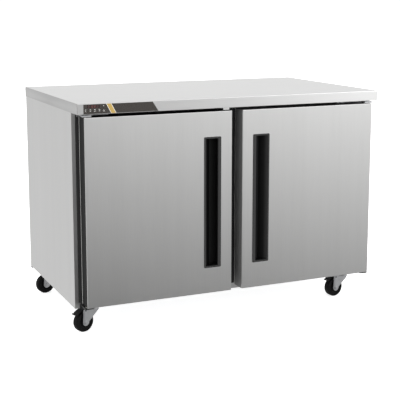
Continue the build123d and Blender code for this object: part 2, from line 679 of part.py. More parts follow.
def build_handle(side, name):
    """Recessed grip: a proud rim, a lip over the undercut and a floor that slopes to the hinge side."""
    free = HANDLE_X0 + HANDLE_HIDDEN
    far = HANDLE_X1 - HANDLE_HIDDEN
    deep = DOOR_FACE + HANDLE_DEPTH
    floor = deep - HANDLE_WALL
    ramp_end = far - HANDLE_RAMP
    ramp_top = DOOR_FACE + HANDLE_PROUD
    mouth_free = HANDLE_X0 + HANDLE_RIM + HANDLE_LIP
    mouth_far = HANDLE_X1 - HANDLE_RIM
    undercut = free + HANDLE_WALL
    lip_back = DOOR_FACE + HANDLE_LIP_T
    rim_y = DOOR_FACE - HANDLE_PROUD
    length = HANDLE_Z1 - HANDLE_Z0
    with BuildPart() as handle:
        with BuildSketch(Plane.XY.offset(HANDLE_Z0 + HANDLE_HIDDEN)):
            with BuildLine():
                Polyline(
                    (side * free, DOOR_FACE), (side * free, deep), (side * ramp_end, deep),
                    (side * far, ramp_top + HANDLE_PROUD), (side * far, DOOR_FACE), close=True,
                )  # fmt: skip
            make_face()
        extrude(amount=length - 2 * HANDLE_HIDDEN)
        with BuildSketch(Plane.XZ.offset(-DOOR_FACE)):
            with Locations((side * (HANDLE_X0 + HANDLE_X1) / 2, (HANDLE_Z0 + HANDLE_Z1) / 2)):
                RectangleRounded(HANDLE_X1 - HANDLE_X0, length, HANDLE_CORNER)
        extrude(amount=HANDLE_PROUD)
        fillet(handle.faces().sort_by(Axis.Y)[0].edges(), HANDLE_ROUND)
        with BuildSketch(Plane.XY.offset(HANDLE_Z0 + HANDLE_RIM)):
            with BuildLine():
                Polyline(
                    (side * mouth_free, rim_y), (side * mouth_free, lip_back),
                    (side * undercut, lip_back), (side * undercut, floor), (side * ramp_end, floor),
                    (side * mouth_far, ramp_top), (side * mouth_far, rim_y), close=True,
                )  # fmt: skip
            make_face()
        extrude(amount=length - 2 * HANDLE_RIM, mode=Mode.SUBTRACT)
    save(handle, name)


def build_bushings(side, name):
    """Plastic bushings in the door's top and bottom edges, in which the hinge pins turn."""
    x = side * PIN_X
    with BuildPart() as bushings:
        for end, into in ((DOOR_Z0, 1), (DOOR_Z1, -1)):
            rod_z(x, PIN_Y, end, end + into * BUSH_LENGTH, BUSH_R)
            rod_z(x, PIN_Y, end, end - into * 1.0, BUSH_FLANGE_R)
        rod_z(x, PIN_Y, DOOR_Z0 - 2, DOOR_Z1 + 2, PIN_R + RUNNING, mode=Mode.SUBTRACT)
    save(bushings, name)


# ---------------------------------------------------------------- controls
def build_overlay():
    """Dark control label on the fascia, with windows for the display, buttons and lamp."""
    low = SKIRT_Z + OVERLAY_MARGIN
    high = HEIGHT - OVERLAY_MARGIN - BEND
    with BuildPart() as overlay:
        with BuildSketch(Plane.XZ.offset(-FASCIA_Y)):
            with BuildLine():
                Polyline(
                    (OVERLAY_X0, low), (OVERLAY_LOW_X1, low), (OVERLAY_TOP_X1, high),
                    (OVERLAY_X0, high), close=True,
                )  # fmt: skip
            make_face()
            for index in range(len(BUTTONS)):
                with Locations((BUTTON_X + index * BUTTON_PITCH, BUTTON_Z)):
                    Rectangle(BUTTON_W + 2 * BUTTON_GAP, BUTTON_H + 2 * BUTTON_GAP, mode=Mode.SUBTRACT)
            with Locations((LAMP_X, BUTTON_Z)):
                Circle(LAMP_R, mode=Mode.SUBTRACT)
            with Locations((sum(DISPLAY_X) / 2, sum(DISPLAY_Z) / 2)):
                Rectangle(DISPLAY_X[1] - DISPLAY_X[0], DISPLAY_Z[1] - DISPLAY_Z[0], mode=Mode.SUBTRACT)
        extrude(amount=OVERLAY_T)
    save(overlay, "control_overlay")


def build_control_board():
    """Circuit board behind the fascia, with the display block and the status lamp standing on it."""
    board_y = FASCIA_Y + TOP_SHEET + BOARD_GAP
    face_y = FASCIA_Y - OVERLAY_T
    with BuildPart() as board:
        slab(*BOARD_X, board_y, board_y + BOARD_T, *BOARD_Z)
        slab(
            DISPLAY_X[0] + LENS_GAP, DISPLAY_X[1] - LENS_GAP, face_y + LENS_GAP, board_y,
            DISPLAY_Z[0] + LENS_GAP, DISPLAY_Z[1] - LENS_GAP,
        )  # fmt: skip
        rod_y(LAMP_X, face_y, board_y, BUTTON_Z, LAMP_R - LENS_GAP)
        ball(LAMP_X, face_y + LAMP_DOME, BUTTON_Z, LAMP_R - LENS_GAP)
    save(board, "control_board")


def build_button(index, name):
    """Push button: a rounded cap on a stem, with a retaining flange behind the fascia."""
    x = BUTTON_X + index * BUTTON_PITCH
    face = FASCIA_Y - OVERLAY_T - BUTTON_PROUD
    flange_y = FASCIA_Y + TOP_SHEET + RUNNING
    lap_x = BUTTON_W / 2 + BUTTON_LAP
    lap_z = BUTTON_H / 2 + BUTTON_LAP
    with BuildPart() as button:
        slab(
            x - BUTTON_W / 2, x + BUTTON_W / 2, face, flange_y + BUTTON_FLANGE,
            BUTTON_Z - BUTTON_H / 2, BUTTON_Z + BUTTON_H / 2,
        )  # fmt: skip
        fillet(button.edges().filter_by(Axis.Y), BUTTON_CORNER)
        fillet(button.faces().sort_by(Axis.Y)[0].edges(), BUTTON_EDGE)
        slab(
            x - lap_x, x + lap_x, flange_y, flange_y + BUTTON_FLANGE,
            BUTTON_Z - lap_z, BUTTON_Z + lap_z,
        )  # fmt: skip
        rod_y(x, flange_y, flange_y + BUTTON_REACH, BUTTON_Z, BUTTON_STEM_R)
    save(button, name)


# ---------------------------------------------------------------- casters
def caster_places():
    """Swivel centre (x, y) of each caster: front left, front right, rear left, rear right."""
    return (
        (-CASTER_X, CASTER_FRONT_Y),
        (CASTER_X, CASTER_FRONT_Y),
        (-CASTER_X, CASTER_REAR_Y),
        (CASTER_X, CASTER_REAR_Y),
    )


def build_caster_plates():
    """Four mounting plates with the upper ball race and the king pin."""
    under = CAB_Z - PLATE_T
    crown_top = CROWN_Z + CROWN_T
    head_top = CROWN_Z - RACE_GAP
    with BuildPart() as plates:
        for x, y in caster_places():
            slab(x - PLATE_X / 2, x + PLATE_X / 2, y - PLATE_Y / 2, y + PLATE_Y / 2, under, CAB_Z)
            rod_z(x, y, crown_top + RACE_GAP, under, RACE_R)
            rod_z(x, y, head_top, under, KING_R)
            rod_z(x, y, head_top - KING_HEAD_H, head_top, KING_HEAD_R)
            for dx in (-PLATE_HOLE_X / 2, PLATE_HOLE_X / 2):
                for dy in (-PLATE_HOLE_Y / 2, PLATE_HOLE_Y / 2):
                    rod_z(x + dx, y + dy, under, CAB_Z, SCREW_R, mode=Mode.SUBTRACT)
    save(plates, "caster_plates")


def side_plane(frame, shift):
    """Plane of a caster's side view, moved by shift towards the caster's own -Y."""
    return Plane(frame.location * Plane.XZ.offset(shift).location)


def leg_outline():
    """Corners of a fork leg seen from the side: wide at the crown, with a front edge that slopes
    down to the axle eye. The last two corners are where the edges meet the eye tangentially."""
    eye_front = (-TRAIL + LEG_EYE_R * cos(LEG_EDGE), WHEEL_R - LEG_EYE_R * sin(LEG_EDGE) / 5)
    eye_back = (-TRAIL - LEG_EYE_R, WHEEL_R)
    top = CROWN_Z + CROWN_T
    return (
        (LEG_TOP_BACK, top),
        (CROWN_R - 2, top),
        (CROWN_R - 2, CROWN_Z - 6),
        eye_front,
        eye_back,
    )


def build_fork(frame, braked, name):
    """Pressed caster fork: a round crown, two tapered legs with a raised rib, and the riveted axle."""
    inner = FORK_GAP / 2
    outer = inner + FORK_T
    face = outer + LEG_RIB_T
    rib_x = LEG_TOP_BACK + 4
    rib_z = CROWN_Z - 2
    rib_low = LEG_RIB_EYE - 0.5
    with BuildPart(frame) as fork:
        with Locations((0, 0, CROWN_Z + CROWN_T / 2)):
            Cylinder(CROWN_R, CROWN_T)
        with Locations((0, 0, CROWN_Z + CROWN_T / 2)):
            Box(2 * (CROWN_R - 2), 2 * outer, CROWN_T)
        for sign in (-1, 1):
            with BuildSketch(side_plane(frame, sign * inner)):
                with BuildLine():
                    Polyline(*leg_outline(), close=True)
                make_face()
                with Locations((-TRAIL, WHEEL_R)):
                    Circle(LEG_EYE_R)
            extrude(amount=sign * FORK_T)
            with BuildSketch(side_plane(frame, sign * outer)):
                with BuildLine():
                    Polyline(
                        (rib_x, rib_z), (rib_x + LEG_RIB_TOP, rib_z), (-TRAIL + rib_low, WHEEL_R),
                        (-TRAIL - rib_low, WHEEL_R), close=True,
                    )  # fmt: skip
                make_face()
                with Locations((-TRAIL, WHEEL_R)):
                    Circle(LEG_RIB_EYE)
            extrude(amount=sign * LEG_RIB_T)
        with Locations((-TRAIL, 0, WHEEL_R)):
            Cylinder(AXLE_R, 4 * outer, rotation=(90, 0, 0), mode=Mode.SUBTRACT)
        with Locations((0, 0, CROWN_Z)):
            Cylinder(KING_R + RUNNING, 4 * CROWN_T, mode=Mode.SUBTRACT)
        if braked:
            with Locations((PEDAL_PIVOT[0], 0, PEDAL_PIVOT[1])):
                Cylinder(PEDAL_PIN_R + RUNNING, 4 * outer, rotation=(90, 0, 0), mode=Mode.SUBTRACT)
    with BuildPart(frame) as axle:
        with Locations((-TRAIL, 0, WHEEL_R)):
            Cylinder(AXLE_R, 2 * face, rotation=(90, 0, 0))
        for sign in (-1, 1):
            with Locations((-TRAIL, sign * (face + RIVET_H / 2), WHEEL_R)):
                Cylinder(RIVET_R, RIVET_H, rotation=(90, 0, 0))
        fillet(axle.faces().filter_by(GeomType.PLANE).group_by(Face.area)[-1].edges(), 1.0)
    pair = Compound(children=[fork.part, axle.part], label=name)
    export_step(pair, f"parts/{name}.step")


def build_wheel(frame, name):
    """Caster wheel: a solid rubber tread bonded to a plastic core with a boss at each side."""
    half = FORK_GAP / 2 - HUB_PLAY
    axle_plane = Plane(side_plane(frame, 0).location * Location((-TRAIL, WHEEL_R, 0)))
    with BuildPart(axle_plane) as tread:
        Cylinder(WHEEL_R, WHEEL_W)
        fillet(tread.edges().filter_by(GeomType.CIRCLE), TREAD_ROUND)
        Cylinder(HUB_R, WHEEL_W, mode=Mode.SUBTRACT)
    with BuildPart(axle_plane) as core:
        Cylinder(HUB_R, WHEEL_W - 2 * HUB_DISH)
        for sign in (-1, 1):
            with Locations((0, 0, sign * (WHEEL_W / 2 - HUB_DISH))):
                Cylinder(HUB_R - HUB_RING, 3 * HUB_DISH, mode=Mode.SUBTRACT)
        Cylinder(HUB_BOSS_R, 2 * half)
        Cylinder(AXLE_R + RUNNING, 4 * half, mode=Mode.SUBTRACT)
    pair = Compound(children=[tread.part, core.part], label=name)
    export_step(pair, f"parts/{name}.step")


def build_pedal(frame, name):
    """Brake pedal: a curved shoe over the wheel, with a toe tab and a cross pin in the fork."""
    start = radians(PEDAL_ARC[0])
    end = radians(PEDAL_ARC[1])
    r1 = PEDAL_R0 + PEDAL_T
    centre = Vector(-TRAIL, WHEEL_R)

    def on_arc(radius, angle):
        return centre + Vector(radius * cos(angle), radius * sin(angle))

    middle = (start + end) / 2
    toe = on_arc(r1 + PEDAL_TOE, end) + Vector(-2.5, 0)
    toe_half = Vector(0, 2)
    with BuildPart(frame) as pedal:
        with BuildSketch(side_plane(frame, -PEDAL_W / 2)):
            with BuildLine():
                ThreePointArc(on_arc(PEDAL_R0, start), on_arc(PEDAL_R0, middle), on_arc(PEDAL_R0, end))
                Line(on_arc(PEDAL_R0, end), toe - toe_half)
                Line(toe - toe_half, toe + toe_half)
                Line(toe + toe_half, on_arc(r1, end - 0.1))
                ThreePointArc(on_arc(r1, end - 0.1), on_arc(r1, middle), on_arc(r1, start))
                Line(on_arc(r1, start), on_arc(PEDAL_R0, start))
            make_face()
            with Locations(PEDAL_PIVOT):
                Circle(PEDAL_BOSS_R)
        extrude(amount=PEDAL_W)
        with Locations((PEDAL_PIVOT[0], 0, PEDAL_PIVOT[1])):
            Cylinder(PEDAL_PIN_R, FORK_GAP + 2 * FORK_T + 2, rotation=(90, 0, 0))
    save(pedal, name)


def build_casters():
    """Four swivel casters, all trailing to the left; the front two have brakes."""
    names = ("front_left", "front_right", "rear_left", "rear_right")
    yaws = (18.0, 8.0, 10.0, 5.0)  # degrees that the trail is turned towards the front
    for (x, y), name, yaw in zip(caster_places(), names, yaws):
        turned = Vector(1, 0, 0).rotate(Axis.Z, yaw)
        frame = Plane(origin=(x, y, 0), x_dir=turned, z_dir=(0, 0, 1))
        braked = name.startswith("front")
        build_fork(frame, braked, f"caster_fork_{name}")
        build_wheel(frame, f"caster_wheel_{name}")
        if braked:
            build_pedal(frame, f"brake_pedal_{name[6:]}")


# ---------------------------------------------------------------- shelves
def build_shelf(side, name):
    """Coated wire shelf: a border rod, wires from front to back and two stiffeners under them."""
    z = SHELF_Z
    low = z - WIRE_R - STIFFENER_R + 0.6
    pitch = (SHELF_X1 - SHELF_X0) / (WIRES + 1)
    with BuildPart() as shelf:
        for x in (SHELF_X0, SHELF_X1):
            rod_y(side * x, SHELF_Y0, SHELF_Y1, z, BORDER_R)
        for y in (SHELF_Y0, SHELF_Y1):
            rod_x(side * SHELF_X0, side * SHELF_X1, y, z, BORDER_R)
        for x in (SHELF_X0, SHELF_X1):
            for y in (SHELF_Y0, SHELF_Y1):
                ball(side * x, y, z, BORDER_R)
        for index in range(1, WIRES + 1):
            rod_y(side * (SHELF_X0 + index * pitch), SHELF_Y0, SHELF_Y1, z, WIRE_R)
        for share in (1 / 3, 2 / 3):
            y = SHELF_Y0 + share * (SHELF_Y1 - SHELF_Y0)
            rod_x(side * SHELF_X0, side * SHELF_X1, y, low, STIFFENER_R)
    save(shelf, name)


def standard_places():
    """Pilasters: (x, y, along), where along is the axis that the strip's width follows."""
    places = []
    for side in (-1, 1):
        for y in STANDARD_Y:
            places.append((side * (ROOM_X - STANDARD_T / 2), y, "y"))
    places.append((0.0, MULLION_BACK + STANDARD_T / 2, "x"))
    places.append((0.0, ROOM_BACK - STANDARD_T / 2, "x"))
    return places


def build_standards():
    """Slotted shelf standards on the side walls, the centre post and the back wall."""
    z0, z1 = STANDARD_Z
    with BuildPart() as standards:
        for x, y, along in standard_places():
            wide_x = STANDARD_T if along == "y" else STANDARD_W
            wide_y = STANDARD_W if along == "y" else STANDARD_T
            slab(x - wide_x / 2, x + wide_x / 2, y - wide_y / 2, y + wide_y / 2, z0, z1)
            cut_x = STANDARD_T if along == "y" else SLOT_W / 2
            cut_y = SLOT_W / 2 if along == "y" else STANDARD_T
            for step in range(SLOTS):
                z = z0 + (step + 0.5) * SLOT_PITCH
                slab(x - cut_x, x + cut_x, y - cut_y, y + cut_y, z, z + SLOT_H, mode=Mode.SUBTRACT)
    save(standards, "shelf_standards")


def build_clips():
    """Bent clips that hook on the standards and carry the shelves."""
    z1 = SHELF_Z - BORDER_R
    z0 = z1 - CLIP_T
    low = z0 - CLIP_DROP
    half = CLIP_W / 2
    with BuildPart() as clips:
        for side in (-1, 1):
            for y in STANDARD_Y:
                wall = side * (ROOM_X - STANDARD_T)
                slab(wall, wall - side * CLIP_L, y - half, y + half, z0, z1)
                slab(wall, wall - side * CLIP_HOOK, y - half, y + half, low, z0)
        for wall, inward in ((MULLION_BACK + STANDARD_T, 1), (ROOM_BACK - STANDARD_T, -1)):
            slab(-TEE_W / 2, TEE_W / 2, wall, wall + inward * TEE_L, z0, z1)
            slab(-half, half, wall, wall + inward * CLIP_HOOK, low, z0)
    save(clips, "shelf_clips")


# ---------------------------------------------------------------- evaporator, inside
def build_evaporator_cover():
    """Evaporator housing under the ceiling, with a ringed fan guard and outlet slots."""
    mouth = EVAP_FAN_R + FAN_TIP_GAP
    with BuildPart() as cover:
        slab(-EVAP_X, EVAP_X, EVAP_Y0, ROOM_BACK, EVAP_Z0, ROOM_Z1)
        fillet(cover.edges().filter_by(Axis.X).group_by(Axis.Y)[0], EVAP_ROUND)
        slab(
            -EVAP_X + EVAP_SHEET, EVAP_X - EVAP_SHEET, EVAP_Y0 + EVAP_SHEET, ROOM_BACK,
            EVAP_Z0 + EVAP_SHEET, ROOM_Z1, mode=Mode.SUBTRACT,
        )  # fmt: skip
        rod_y(0, EVAP_Y0, EVAP_Y0 + EVAP_SHEET, FAN_Z, mouth, mode=Mode.SUBTRACT)
        for side in (-1, 1):
            for row in range(EVAP_SLOTS):
                z = FAN_Z + (row - EVAP_SLOTS / 2) * EVAP_SLOT_PITCH
                slab(
                    side * EVAP_SLOT_X[0], side * EVAP_SLOT_X[1], EVAP_Y0, EVAP_Y0 + EVAP_SHEET,
                    z, z + EVAP_SLOT_H, mode=Mode.SUBTRACT,
                )  # fmt: skip
        with BuildSketch(Plane.XZ.offset(-EVAP_Y0 - EVAP_SHEET)):
            with Locations((0, FAN_Z)):
                for radius in reversed(GUARD_RINGS):
                    Circle(radius)
                    Circle(radius - GUARD_WIRE, mode=Mode.SUBTRACT)
                Circle(GUARD_HUB)
                Rectangle(2 * mouth + 1, GUARD_WIRE)
                Rectangle(GUARD_WIRE, 2 * mouth + 1)
        extrude(amount=EVAP_SHEET)
    save(cover, "evaporator_cover")


def fin_pack(x0, x1, y0, y1, z0, z1, loops):
    """Finned coil block with the return bends of its tubes at both ends."""
    slab(x0, x1, y0, y1, z0, z1)
    y = (y0 + y1) / 2
    for index in range(loops):
        z = z0 + (index + 0.5) * (z1 - z0) / loops
        for end, out in ((x0, -1), (x1, 1)):
            for dz in (-2 * COIL_TUBE_R, 2 * COIL_TUBE_R):
                rod_x(end, end + out * COIL_TUBE_OUT, y, z + dz, COIL_TUBE_R)
            with Locations((end + out * COIL_TUBE_OUT, y, z)):
                Box(1.5 * COIL_TUBE_R, 2 * COIL_TUBE_R, 6 * COIL_TUBE_R)


def build_evaporator_coil():
    """Aluminium fin block of the evaporator."""
    half, y0, y1, z0, z1 = EVAP_COIL
    with BuildPart() as coil:
        fin_pack(-half, half, y0, y1, z0, z1, 4)
    save(coil, "evaporator_coil")


def build_fan(x, z, front, radius, shaft, name):
    """Axial fan on its shaft: pitched blades on a hub. front is the hub's front face."""
    span = (FAN_HUB_R + radius) / 2 - FAN_ROOT
    axis = Plane(origin=(x, front, z), x_dir=(1, 0, 0), z_dir=(0, 1, 0))
    with BuildPart(axis) as fan:
        with Locations((0, 0, FAN_HUB_L / 2)):
            Cylinder(FAN_HUB_R, FAN_HUB_L)
        with Locations((0, 0, shaft / 2)):
            Cylinder(SHAFT_R, shaft)
        with Locations((0, 0, FAN_HUB_L / 2)):
            with PolarLocations(span, FAN_BLADES):
                Box(
                    radius - FAN_HUB_R + 2 * FAN_ROOT, radius * FAN_CHORD, FAN_BLADE_T,
                    rotation=(FAN_PITCH, 0, 0),
                )  # fmt: skip
    save(fan, name)


def build_fan_motors():
    """The two small shaded-pole motors, with the bars that carry them."""
    with BuildPart() as motors:
        for x, y, z, reach in (EVAP_MOTOR, COND_MOTOR):
            rod_y(x, y, y + MOTOR_L - MOTOR_CAP, z, MOTOR_R)
            y0 = y + MOTOR_BAR_Y[0]
            y1 = y + MOTOR_BAR_Y[1]
            slab(x - MOTOR_BAR / 2, x + MOTOR_BAR / 2, y0, y1, z - reach, z + reach)
            slab(x - reach, x + reach, y0, y1, z - MOTOR_BAR / 2, z + MOTOR_BAR / 2)
            rod_y(x, y - 1, y + MOTOR_L, z, SHAFT_R + RUNNING, mode=Mode.SUBTRACT)
    save(motors, "fan_motors")


# ---------------------------------------------------------------- condensing unit, at the back
def build_compressor():
    """Hermetic compressor: a domed can on a foot plate, with its relay cover."""
    with BuildPart() as compressor:
        rod_z(COMP_X, COMP_Y, COMP_Z0, COMP_Z1, COMP_R)
        fillet(compressor.edges().group_by(Axis.Z)[-1], COMP_DOME)
        fillet(compressor.edges().group_by(Axis.Z)[0], COMP_BOTTOM)
        rod_z(COMP_X, COMP_Y, COMP_SEAM_Z, COMP_SEAM_Z + COMP_SEAM[1], COMP_R + COMP_SEAM[0])
        slab(
            COMP_X - COMP_FOOT_X - COMP_PLATE[0], COMP_X + COMP_FOOT_X + COMP_PLATE[0],
            COMP_Y - COMP_FOOT_Y - COMP_PLATE[1], COMP_Y + COMP_FOOT_Y + COMP_PLATE[1],
            COMP_Z0 + COMP_PLATE_Z[0], COMP_Z0 + COMP_PLATE_Z[1],
        )  # fmt: skip
        for dx in (-COMP_FOOT_X, COMP_FOOT_X):
            for dy in (-COMP_FOOT_Y, COMP_FOOT_Y):
                rod_z(COMP_X + dx, COMP_Y + dy, CAB_Z + STEEL, COMP_Z0 + COMP_FOOT_TOP, COMP_FOOT_R)
        reach, width, low, high = COMP_RELAY
        side_x = COMP_X + COMP_R
        slab(
            side_x - RELAY_ROUND, side_x + reach, COMP_Y - width / 2, COMP_Y + width / 2, low, high,
        )  # fmt: skip
        fillet(compressor.faces().sort_by(Axis.X)[-1].edges(), RELAY_ROUND)
    save(compressor, "compressor")


def build_condenser_coil():
    """Fin block of the condenser with the shroud that the fan blows through."""
    x0, x1, y0, y1, z0, z1 = COND_COIL
    shroud = y0 - SHROUD
    with BuildPart() as coil:
        fin_pack(x0, x1, y0, y1, z0, z1, 5)
        slab(x0, x1, shroud, y0, z0, z1)
        slab(x0 + STEEL, x1 - STEEL, shroud + STEEL, y0, z0 + STEEL, z1 - STEEL, mode=Mode.SUBTRACT)
        rod_y(COND_FAN_X, shroud - 1, shroud + STEEL + 1, COND_FAN_Z, COND_FAN_R + 4, mode=Mode.SUBTRACT)
        for x in (x0, x1 - SHROUD_FOOT):
            slab(x, x + SHROUD_FOOT, shroud, y1, CAB_Z + STEEL, z0)
    save(coil, "condenser_coil")


def build_refrigerant_lines():
    """Copper lines with the filter drier: discharge, liquid and suction, up to the ceiling."""
    bend_z = COMP_Z1 + 10
    ceiling = STEP_Z - STEEL - STEP_FOAM
    suction_x = COMP_X - COMP_R - 22
    suction_z = 236.0
    discharge_x = COMP_X + 22
    coil_x = COND_COIL[0] - 20
    coil_y = 300.0
    inlet_z = 250.0
    outlet_z = 124.0
    drier_y = 200.0
    drier_z = (150.0, 235.0)
    with BuildPart() as lines:
        # suction line, from the side of the can up to the evaporator
        rod_x(COMP_X - COMP_R, suction_x, COMP_Y, suction_z, SUCTION_R)
        ball(suction_x, COMP_Y, suction_z, SUCTION_R)
        rod_z(suction_x, COMP_Y, suction_z, ceiling, SUCTION_R)
        # discharge line, from the top of the can to the condenser
        rod_z(discharge_x, COMP_Y, COMP_Z1, bend_z, LINE_R)
        ball(discharge_x, COMP_Y, bend_z, LINE_R)
        rod_x(discharge_x, coil_x, COMP_Y, bend_z, LINE_R)
        ball(coil_x, COMP_Y, bend_z, LINE_R)
        rod_z(coil_x, COMP_Y, bend_z, inlet_z, LINE_R)
        ball(coil_x, COMP_Y, inlet_z, LINE_R)
        rod_y(coil_x, COMP_Y, coil_y, inlet_z, LINE_R)
        # liquid line with the drier, from the foot of the condenser to the ceiling
        rod_y(coil_x, coil_y, drier_y, outlet_z, LINE_R)
        ball(coil_x, drier_y, outlet_z, LINE_R)
        rod_z(coil_x, drier_y, outlet_z, drier_z[0], LINE_R)
        rod_z(coil_x, drier_y, *drier_z, DRIER_R)
        rod_z(coil_x, drier_y, drier_z[1], ceiling, LINE_R)
    save(lines, "refrigerant_lines")


def build_condensate_pan():
    """Shallow plastic pan in which the defrost water evaporates."""
    with BuildPart() as pan:
        slab(*PAN_X, *PAN_Y, CAB_Z + STEEL, PAN_TOP)
        fillet(pan.edges().filter_by(Axis.Z), PAN_CORNER)
        slab(
            PAN_X[0] + PAN_WALL, PAN_X[1] - PAN_WALL, PAN_Y[0] + PAN_WALL, PAN_Y[1] - PAN_WALL,
            CAB_Z + STEEL + PAN_WALL, PAN_TOP, mode=Mode.SUBTRACT,
        )  # fmt: skip
    save(pan, "condensate_pan")


def build_electrical_box():
    """Junction box for the supply, the starter and the controller's wiring."""
    with BuildPart() as box:
        slab(*BOX_X, *BOX_Y, *BOX_Z)
        fillet(box.edges().filter_by(Axis.Y), BOX_WALL + 2)
        slab(
            BOX_X[0] + BOX_WALL, BOX_X[1] - BOX_WALL, BOX_Y[0] + BOX_WALL, BOX_Y[1] - BOX_WALL,
            BOX_Z[0] + BOX_WALL, BOX_Z[1] - BOX_WALL, mode=Mode.SUBTRACT,
        )  # fmt: skip
        rod_y(GLAND_X, BOX_Y[1] - BOX_WALL, BOX_Y[1], GLAND_Z, GLAND_R - GLAND_WALL, mode=Mode.SUBTRACT)
    save(box, "electrical_box")


def build_power_inlet():
    """Moulded inlet plate between the halves of the grille, in one with the gland of the supply cord."""
    rear = CAB_BACK - STEEL
    inside = BOX_Y[1] - BOX_WALL - GLAND_NUT
    with BuildPart() as inlet:
        slab(*INLET_X, rear, rear + STEEL, *GRILLE_Z)
        rod_y(GLAND_X, inside, BOX_Y[1], GLAND_Z, GLAND_R - GLAND_WALL)
        rod_y(GLAND_X, BOX_Y[1], BACK - GLAND_END, GLAND_Z, GLAND_R)
        with BuildSketch(Plane.XZ.offset(-BOX_Y[1] - GLAND_NUT)):
            with Locations((GLAND_X, GLAND_Z)):
                RegularPolygon(GLAND_R + GLAND_WALL, 6)
        extrude(amount=GLAND_NUT)
        rod_y(GLAND_X, BACK - GLAND_END, BACK - GLAND_INSET, GLAND_Z, GLAND_R - GLAND_WALL)
        rod_y(GLAND_X, inside, BACK, GLAND_Z, GLAND_BORE_R, mode=Mode.SUBTRACT)
    save(inlet, "power_inlet")


def build_rear_grille():
    """Louvred stainless cover of the compressor compartment, in two halves beside the inlet plate."""
    mid_z = sum(GRILLE_Z) / 2
    rear = CAB_BACK - STEEL
    halves = ((-GRILLE_X, INLET_X[0] - GRILLE_GAP), (INLET_X[1] + GRILLE_GAP, GRILLE_X))
    with BuildPart() as grille:
        for x0, x1 in halves:
            columns = int((x1 - x0) // LOUVRE_PITCH_X)
            slab(x0, x1, rear, rear + STEEL, *GRILLE_Z)
            with BuildSketch(Plane.XZ.offset(-rear - STEEL)):
                with Locations(((x0 + x1) / 2, mid_z)):
                    with GridLocations(LOUVRE_PITCH_X, LOUVRE_PITCH_Z, columns, LOUVRE_ROWS):
                        SlotOverall(LOUVRE_L, LOUVRE_H)
            extrude(amount=STEEL, mode=Mode.SUBTRACT)
    save(grille, "rear_grille")


def build_bumpers():
    """Rubber bumpers under the rear corners, which keep the cabinet off the wall."""
    with BuildPart() as bumpers:
        for side in (-1, 1):
            rod_z(
                side * (CAB_X - BUMPER_IN[0]), CAB_BACK - BUMPER_IN[1], CAB_Z - BUMPER_H, CAB_Z, BUMPER_R,
            )  # fmt: skip
        fillet(bumpers.edges().group_by(Axis.Z)[0], BUMPER_H / 4)
    save(bumpers, "rear_bumpers")


build_worktop()
build_side_panel(-1, "side_panel_left")
build_side_panel(1, "side_panel_right")
build_back_panel()
build_base_pan()
build_front_sill()
build_wall_foam()
build_liner()
build_breaker_frame()
build_top_hinges()
build_bottom_hinges()
build_screws()
for door_side, door_name in ((-1, "left"), (1, "right")):
    build_door_skin(door_side, f"door_skin_{door_name}")
    build_edge_trim(door_side, f"door_edge_trim_{door_name}")
    build_door_foam(door_side, f"door_foam_{door_name}")
    build_inner_panel(door_side, f"door_inner_panel_{door_name}")
    build_gasket(door_side, f"door_gasket_{door_name}")
    build_handle(door_side, f"door_handle_{door_name}")
    build_bushings(door_side, f"hinge_bushings_{door_name}")
    build_shelf(door_side, f"shelf_{door_name}")
build_overlay()
build_control_board()
for button_index, button_name in enumerate(BUTTONS):
    build_button(button_index, f"button_{button_name}")
build_caster_plates()
build_casters()
build_standards()
build_clips()
build_evaporator_cover()
build_evaporator_coil()
build_fan(0.0, FAN_Z, EVAP_FAN_Y - 9, EVAP_FAN_R, EVAP_SHAFT, "evaporator_fan")
build_fan(COND_FAN_X, COND_FAN_Z, COND_FAN_Y - 8, COND_FAN_R, COND_SHAFT, "condenser_fan")
build_fan_motors()
build_compressor()
build_condenser_coil()
build_refrigerant_lines()
build_condensate_pan()
build_electrical_box()
build_power_inlet()
build_rear_grille()
build_bumpers()
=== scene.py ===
"""Looks of the undercounter refrigerator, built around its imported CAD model. Metres, +Z up, doors to -Y."""

import json
import math

import bmesh
import bpy
from mathutils import Matrix, Vector


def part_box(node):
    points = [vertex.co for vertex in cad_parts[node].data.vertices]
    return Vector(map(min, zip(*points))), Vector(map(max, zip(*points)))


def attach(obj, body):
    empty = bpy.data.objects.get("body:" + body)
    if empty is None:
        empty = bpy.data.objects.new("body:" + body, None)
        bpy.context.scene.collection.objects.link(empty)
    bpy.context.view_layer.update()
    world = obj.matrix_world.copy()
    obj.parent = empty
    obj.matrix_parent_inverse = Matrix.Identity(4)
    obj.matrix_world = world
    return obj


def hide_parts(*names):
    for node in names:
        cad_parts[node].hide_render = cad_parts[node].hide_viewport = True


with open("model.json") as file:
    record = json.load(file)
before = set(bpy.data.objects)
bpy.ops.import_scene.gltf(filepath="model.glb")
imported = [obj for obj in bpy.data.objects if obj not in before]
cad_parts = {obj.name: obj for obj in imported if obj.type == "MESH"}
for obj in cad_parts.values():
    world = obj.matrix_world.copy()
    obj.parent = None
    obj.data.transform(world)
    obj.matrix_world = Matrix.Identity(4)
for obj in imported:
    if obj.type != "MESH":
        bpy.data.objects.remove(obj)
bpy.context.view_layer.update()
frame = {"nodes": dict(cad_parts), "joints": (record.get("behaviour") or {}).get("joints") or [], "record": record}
NODES = frame["nodes"]
JOINTS = {joint["name"]: joint for joint in frame["joints"]}
SIDES = ("left", "right")
CORNERS = ("front_left", "front_right", "rear_left", "rear_right")


